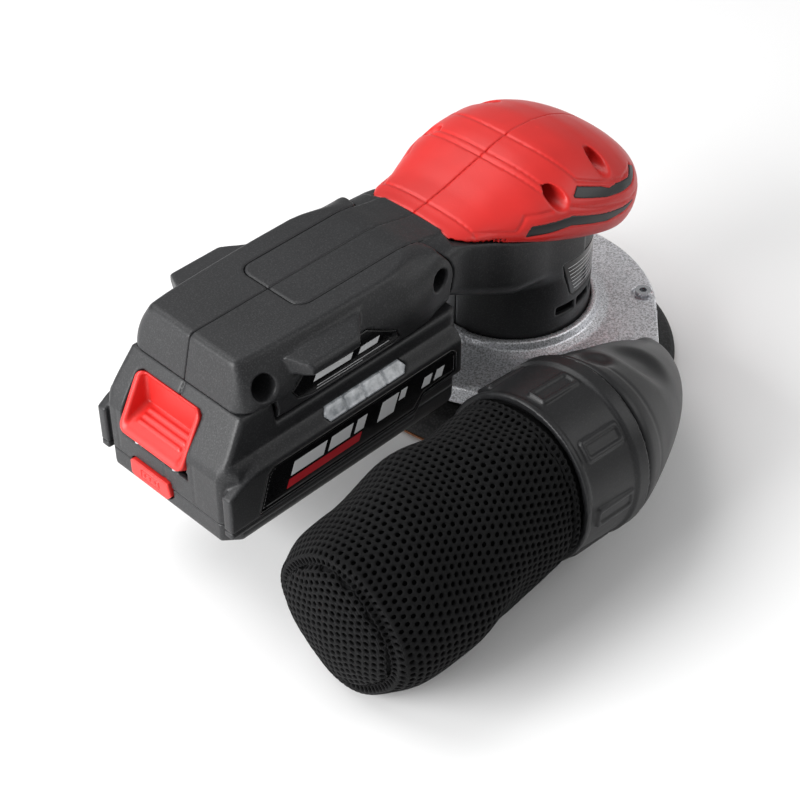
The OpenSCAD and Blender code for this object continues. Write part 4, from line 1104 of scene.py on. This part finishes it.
def on_bag(u, turn, depth=0.0):
    """Points of the cloth at u from mouth 0 to end 1 and turn in whole turns, sunk by depth."""
    fu = np.clip(u, 0, 1) * ALONG
    fa = (turn % 1.0) * AROUND
    i, j = np.minimum(fu.astype(int), ALONG - 1), fa.astype(int) % AROUND
    s, t = (fu - i)[..., None], (fa - np.floor(fa))[..., None]
    k = (j + 1) % AROUND

    def mix(g):
        return (g[i, j] * (1 - s) + g[i + 1, j] * s) * (1 - t) + (g[i, k] * (1 - s) + g[i + 1, k] * s) * t

    p, n = mix(grid), mix(normal)
    return p - depth * n / np.maximum(np.linalg.norm(n, axis=-1, keepdims=True), 1e-9)


def lining():
    rows = np.linspace(0, 1, ALONG + 1)
    outer = [on_bag(np.full(AROUND, u), np.arange(AROUND) / AROUND, 1.5) for u in rows]
    inner = [on_bag(np.full(AROUND, u), np.arange(AROUND) / AROUND, 2.4) for u in rows[::-1]]
    for ring in outer + inner:
        ring[:, 2] = np.maximum(ring[:, 2], 0.3)
    quads = ring_quads([*range(ALONG), *range(ALONG + 1, 2 * ALONG + 1)])
    mesh_object("bag_lining", np.concatenate(outer + inner), quads, "bag", "mesh_fabric", ("dust_bag",))


def net(name, centres, half_u, half_a, place, turns=None, hole_share=0.56):
    """Knitted net: a honeycomb of cells, each with an open hole, given the yarn's thickness."""
    corners = np.array([(1.3333, 0), (0.6667, 1), (-0.6667, 1), (-1.3333, 0), (-0.6667, -1), (0.6667, -1)])
    cell = corners[None] * (half_u, half_a)
    flat = np.concatenate([centres[:, None] + cell * share for share in (1.0, hole_share)], 1).reshape(-1, 2)
    base = 12 * np.arange(len(centres))[:, None, None]
    k = np.arange(6)
    quads = (base + np.stack([k, (k + 1) % 6, 6 + (k + 1) % 6, 6 + k], 1)).reshape(-1, 4)
    key = np.rint(flat / (half_u, half_a) * 6).astype(int)
    if turns:
        key[:, 1] %= round(6 * turns / half_a)
    _, first, back = np.unique(key, axis=0, return_index=True, return_inverse=True)
    points = place(*flat[first].T)
    points[:, 2] = np.maximum(points[:, 2], 0.15)
    obj = mesh_object(name, points, back.ravel()[quads], "bag", "mesh_fabric")
    thick = obj.modifiers.new("thickness", "SOLIDIFY")
    thick.thickness, thick.offset = 1.3 * MM, 0.0
    thick.use_even_offset = False
    soft = obj.modifiers.new("round", "SUBSURF")
    soft.levels = soft.render_levels = 1
    return obj


COLUMNS = 68
PITCH_U, PITCH_Q = 3.1, 3.3  # spacing of the cells along and across, in mm
PANEL = 0.775  # where the end panel's seam is, as a share of the cloth's length
lining()
row_step = PITCH_U / BAG_LENGTH
cells = [((row + 1) * row_step, (i + 0.5 * (row % 2)) / COLUMNS)
         for row in range(int(PANEL / row_step)) for i in range(COLUMNS)]
net("bag_net", np.array(cells), row_step / 2, 0.5 / COLUMNS, on_bag, 1.0)


def on_end(p, q):
    """Points of the end panel at p, q mm from its middle."""
    return on_bag(1 - np.hypot(p, q) / BAG_LENGTH, np.arctan2(q, p) / (2 * math.pi), 0.1)


end_radius = (1 - PANEL) * BAG_LENGTH - 2.0
cells = [(PITCH_U * row, PITCH_Q * (i + 0.5 * (row % 2))) for row in range(-14, 15) for i in range(-14, 15)]
cells = [c for c in cells if math.hypot(*c) < end_radius]
net("bag_end_net", np.array(cells), PITCH_U / 2, PITCH_Q / 2, on_end)

# ---------------------------------------------------------------- camera, light and floor

scene = bpy.context.scene
camera = bpy.data.objects.new("camera", bpy.data.cameras.new("camera"))
scene.collection.objects.link(camera)
scene.camera = camera
camera.data.sensor_width = 36
camera.data.lens = 86.17
camera.data.clip_start, camera.data.clip_end = 0.05, 20
eye, target = Vector((-514.8, -443.0, 556.7)) * MM, Vector((-61.92, 7.68, 2.5)) * MM
camera.location = eye
turn = (target - eye).to_track_quat("-Z", "Y").to_matrix() @ Matrix.Rotation(math.radians(-0.14), 3, "Z")
camera.rotation_euler = turn.to_euler()


def area_light(name, at, aim, size, power):
    light = bpy.data.lights.new(name, "AREA")
    light.shape = "RECTANGLE"
    light.size, light.size_y = size
    light.energy = power
    obj = bpy.data.objects.new(name, light)
    scene.collection.objects.link(obj)
    obj.location = at
    obj.rotation_euler = (Vector(aim) - Vector(at)).to_track_quat("-Z", "Y").to_euler()


area_light("key", (-0.25, 0.7, 1.25), (-0.05, 0, 0.05), (1.3, 0.9), 11)
area_light("side", (-1.2, 0.25, 0.55), (-0.08, -0.02, 0.05), (0.8, 0.7), 21)
area_light("front", (0.75, -0.75, 0.8), (-0.05, -0.03, 0.05), (0.8, 0.8), 3.5)
world = bpy.data.worlds.new("studio")
scene.world = world
world.use_nodes = True
world.node_tree.nodes["Background"].inputs[0].default_value = (1, 1, 1, 1)
world.node_tree.nodes["Background"].inputs[1].default_value = 0.38
scene.view_settings.view_transform = "Standard"

floor_mesh = bpy.data.meshes.new("floor")
floor_mesh.from_pydata([(-6, -6, 0), (6, -6, 0), (6, 6, 0), (-6, 6, 0)], [], [(0, 1, 2, 3)])
floor = bpy.data.objects.new("floor", floor_mesh)
scene.collection.objects.link(floor)
floor.location.z = -0.0003
f = Shader("pale_floor")
floor_mesh.materials.append(f.finish(f.mix(f.noise(3.0), (0.9, 0.9, 0.9), (0.93, 0.93, 0.93)), 0.7))
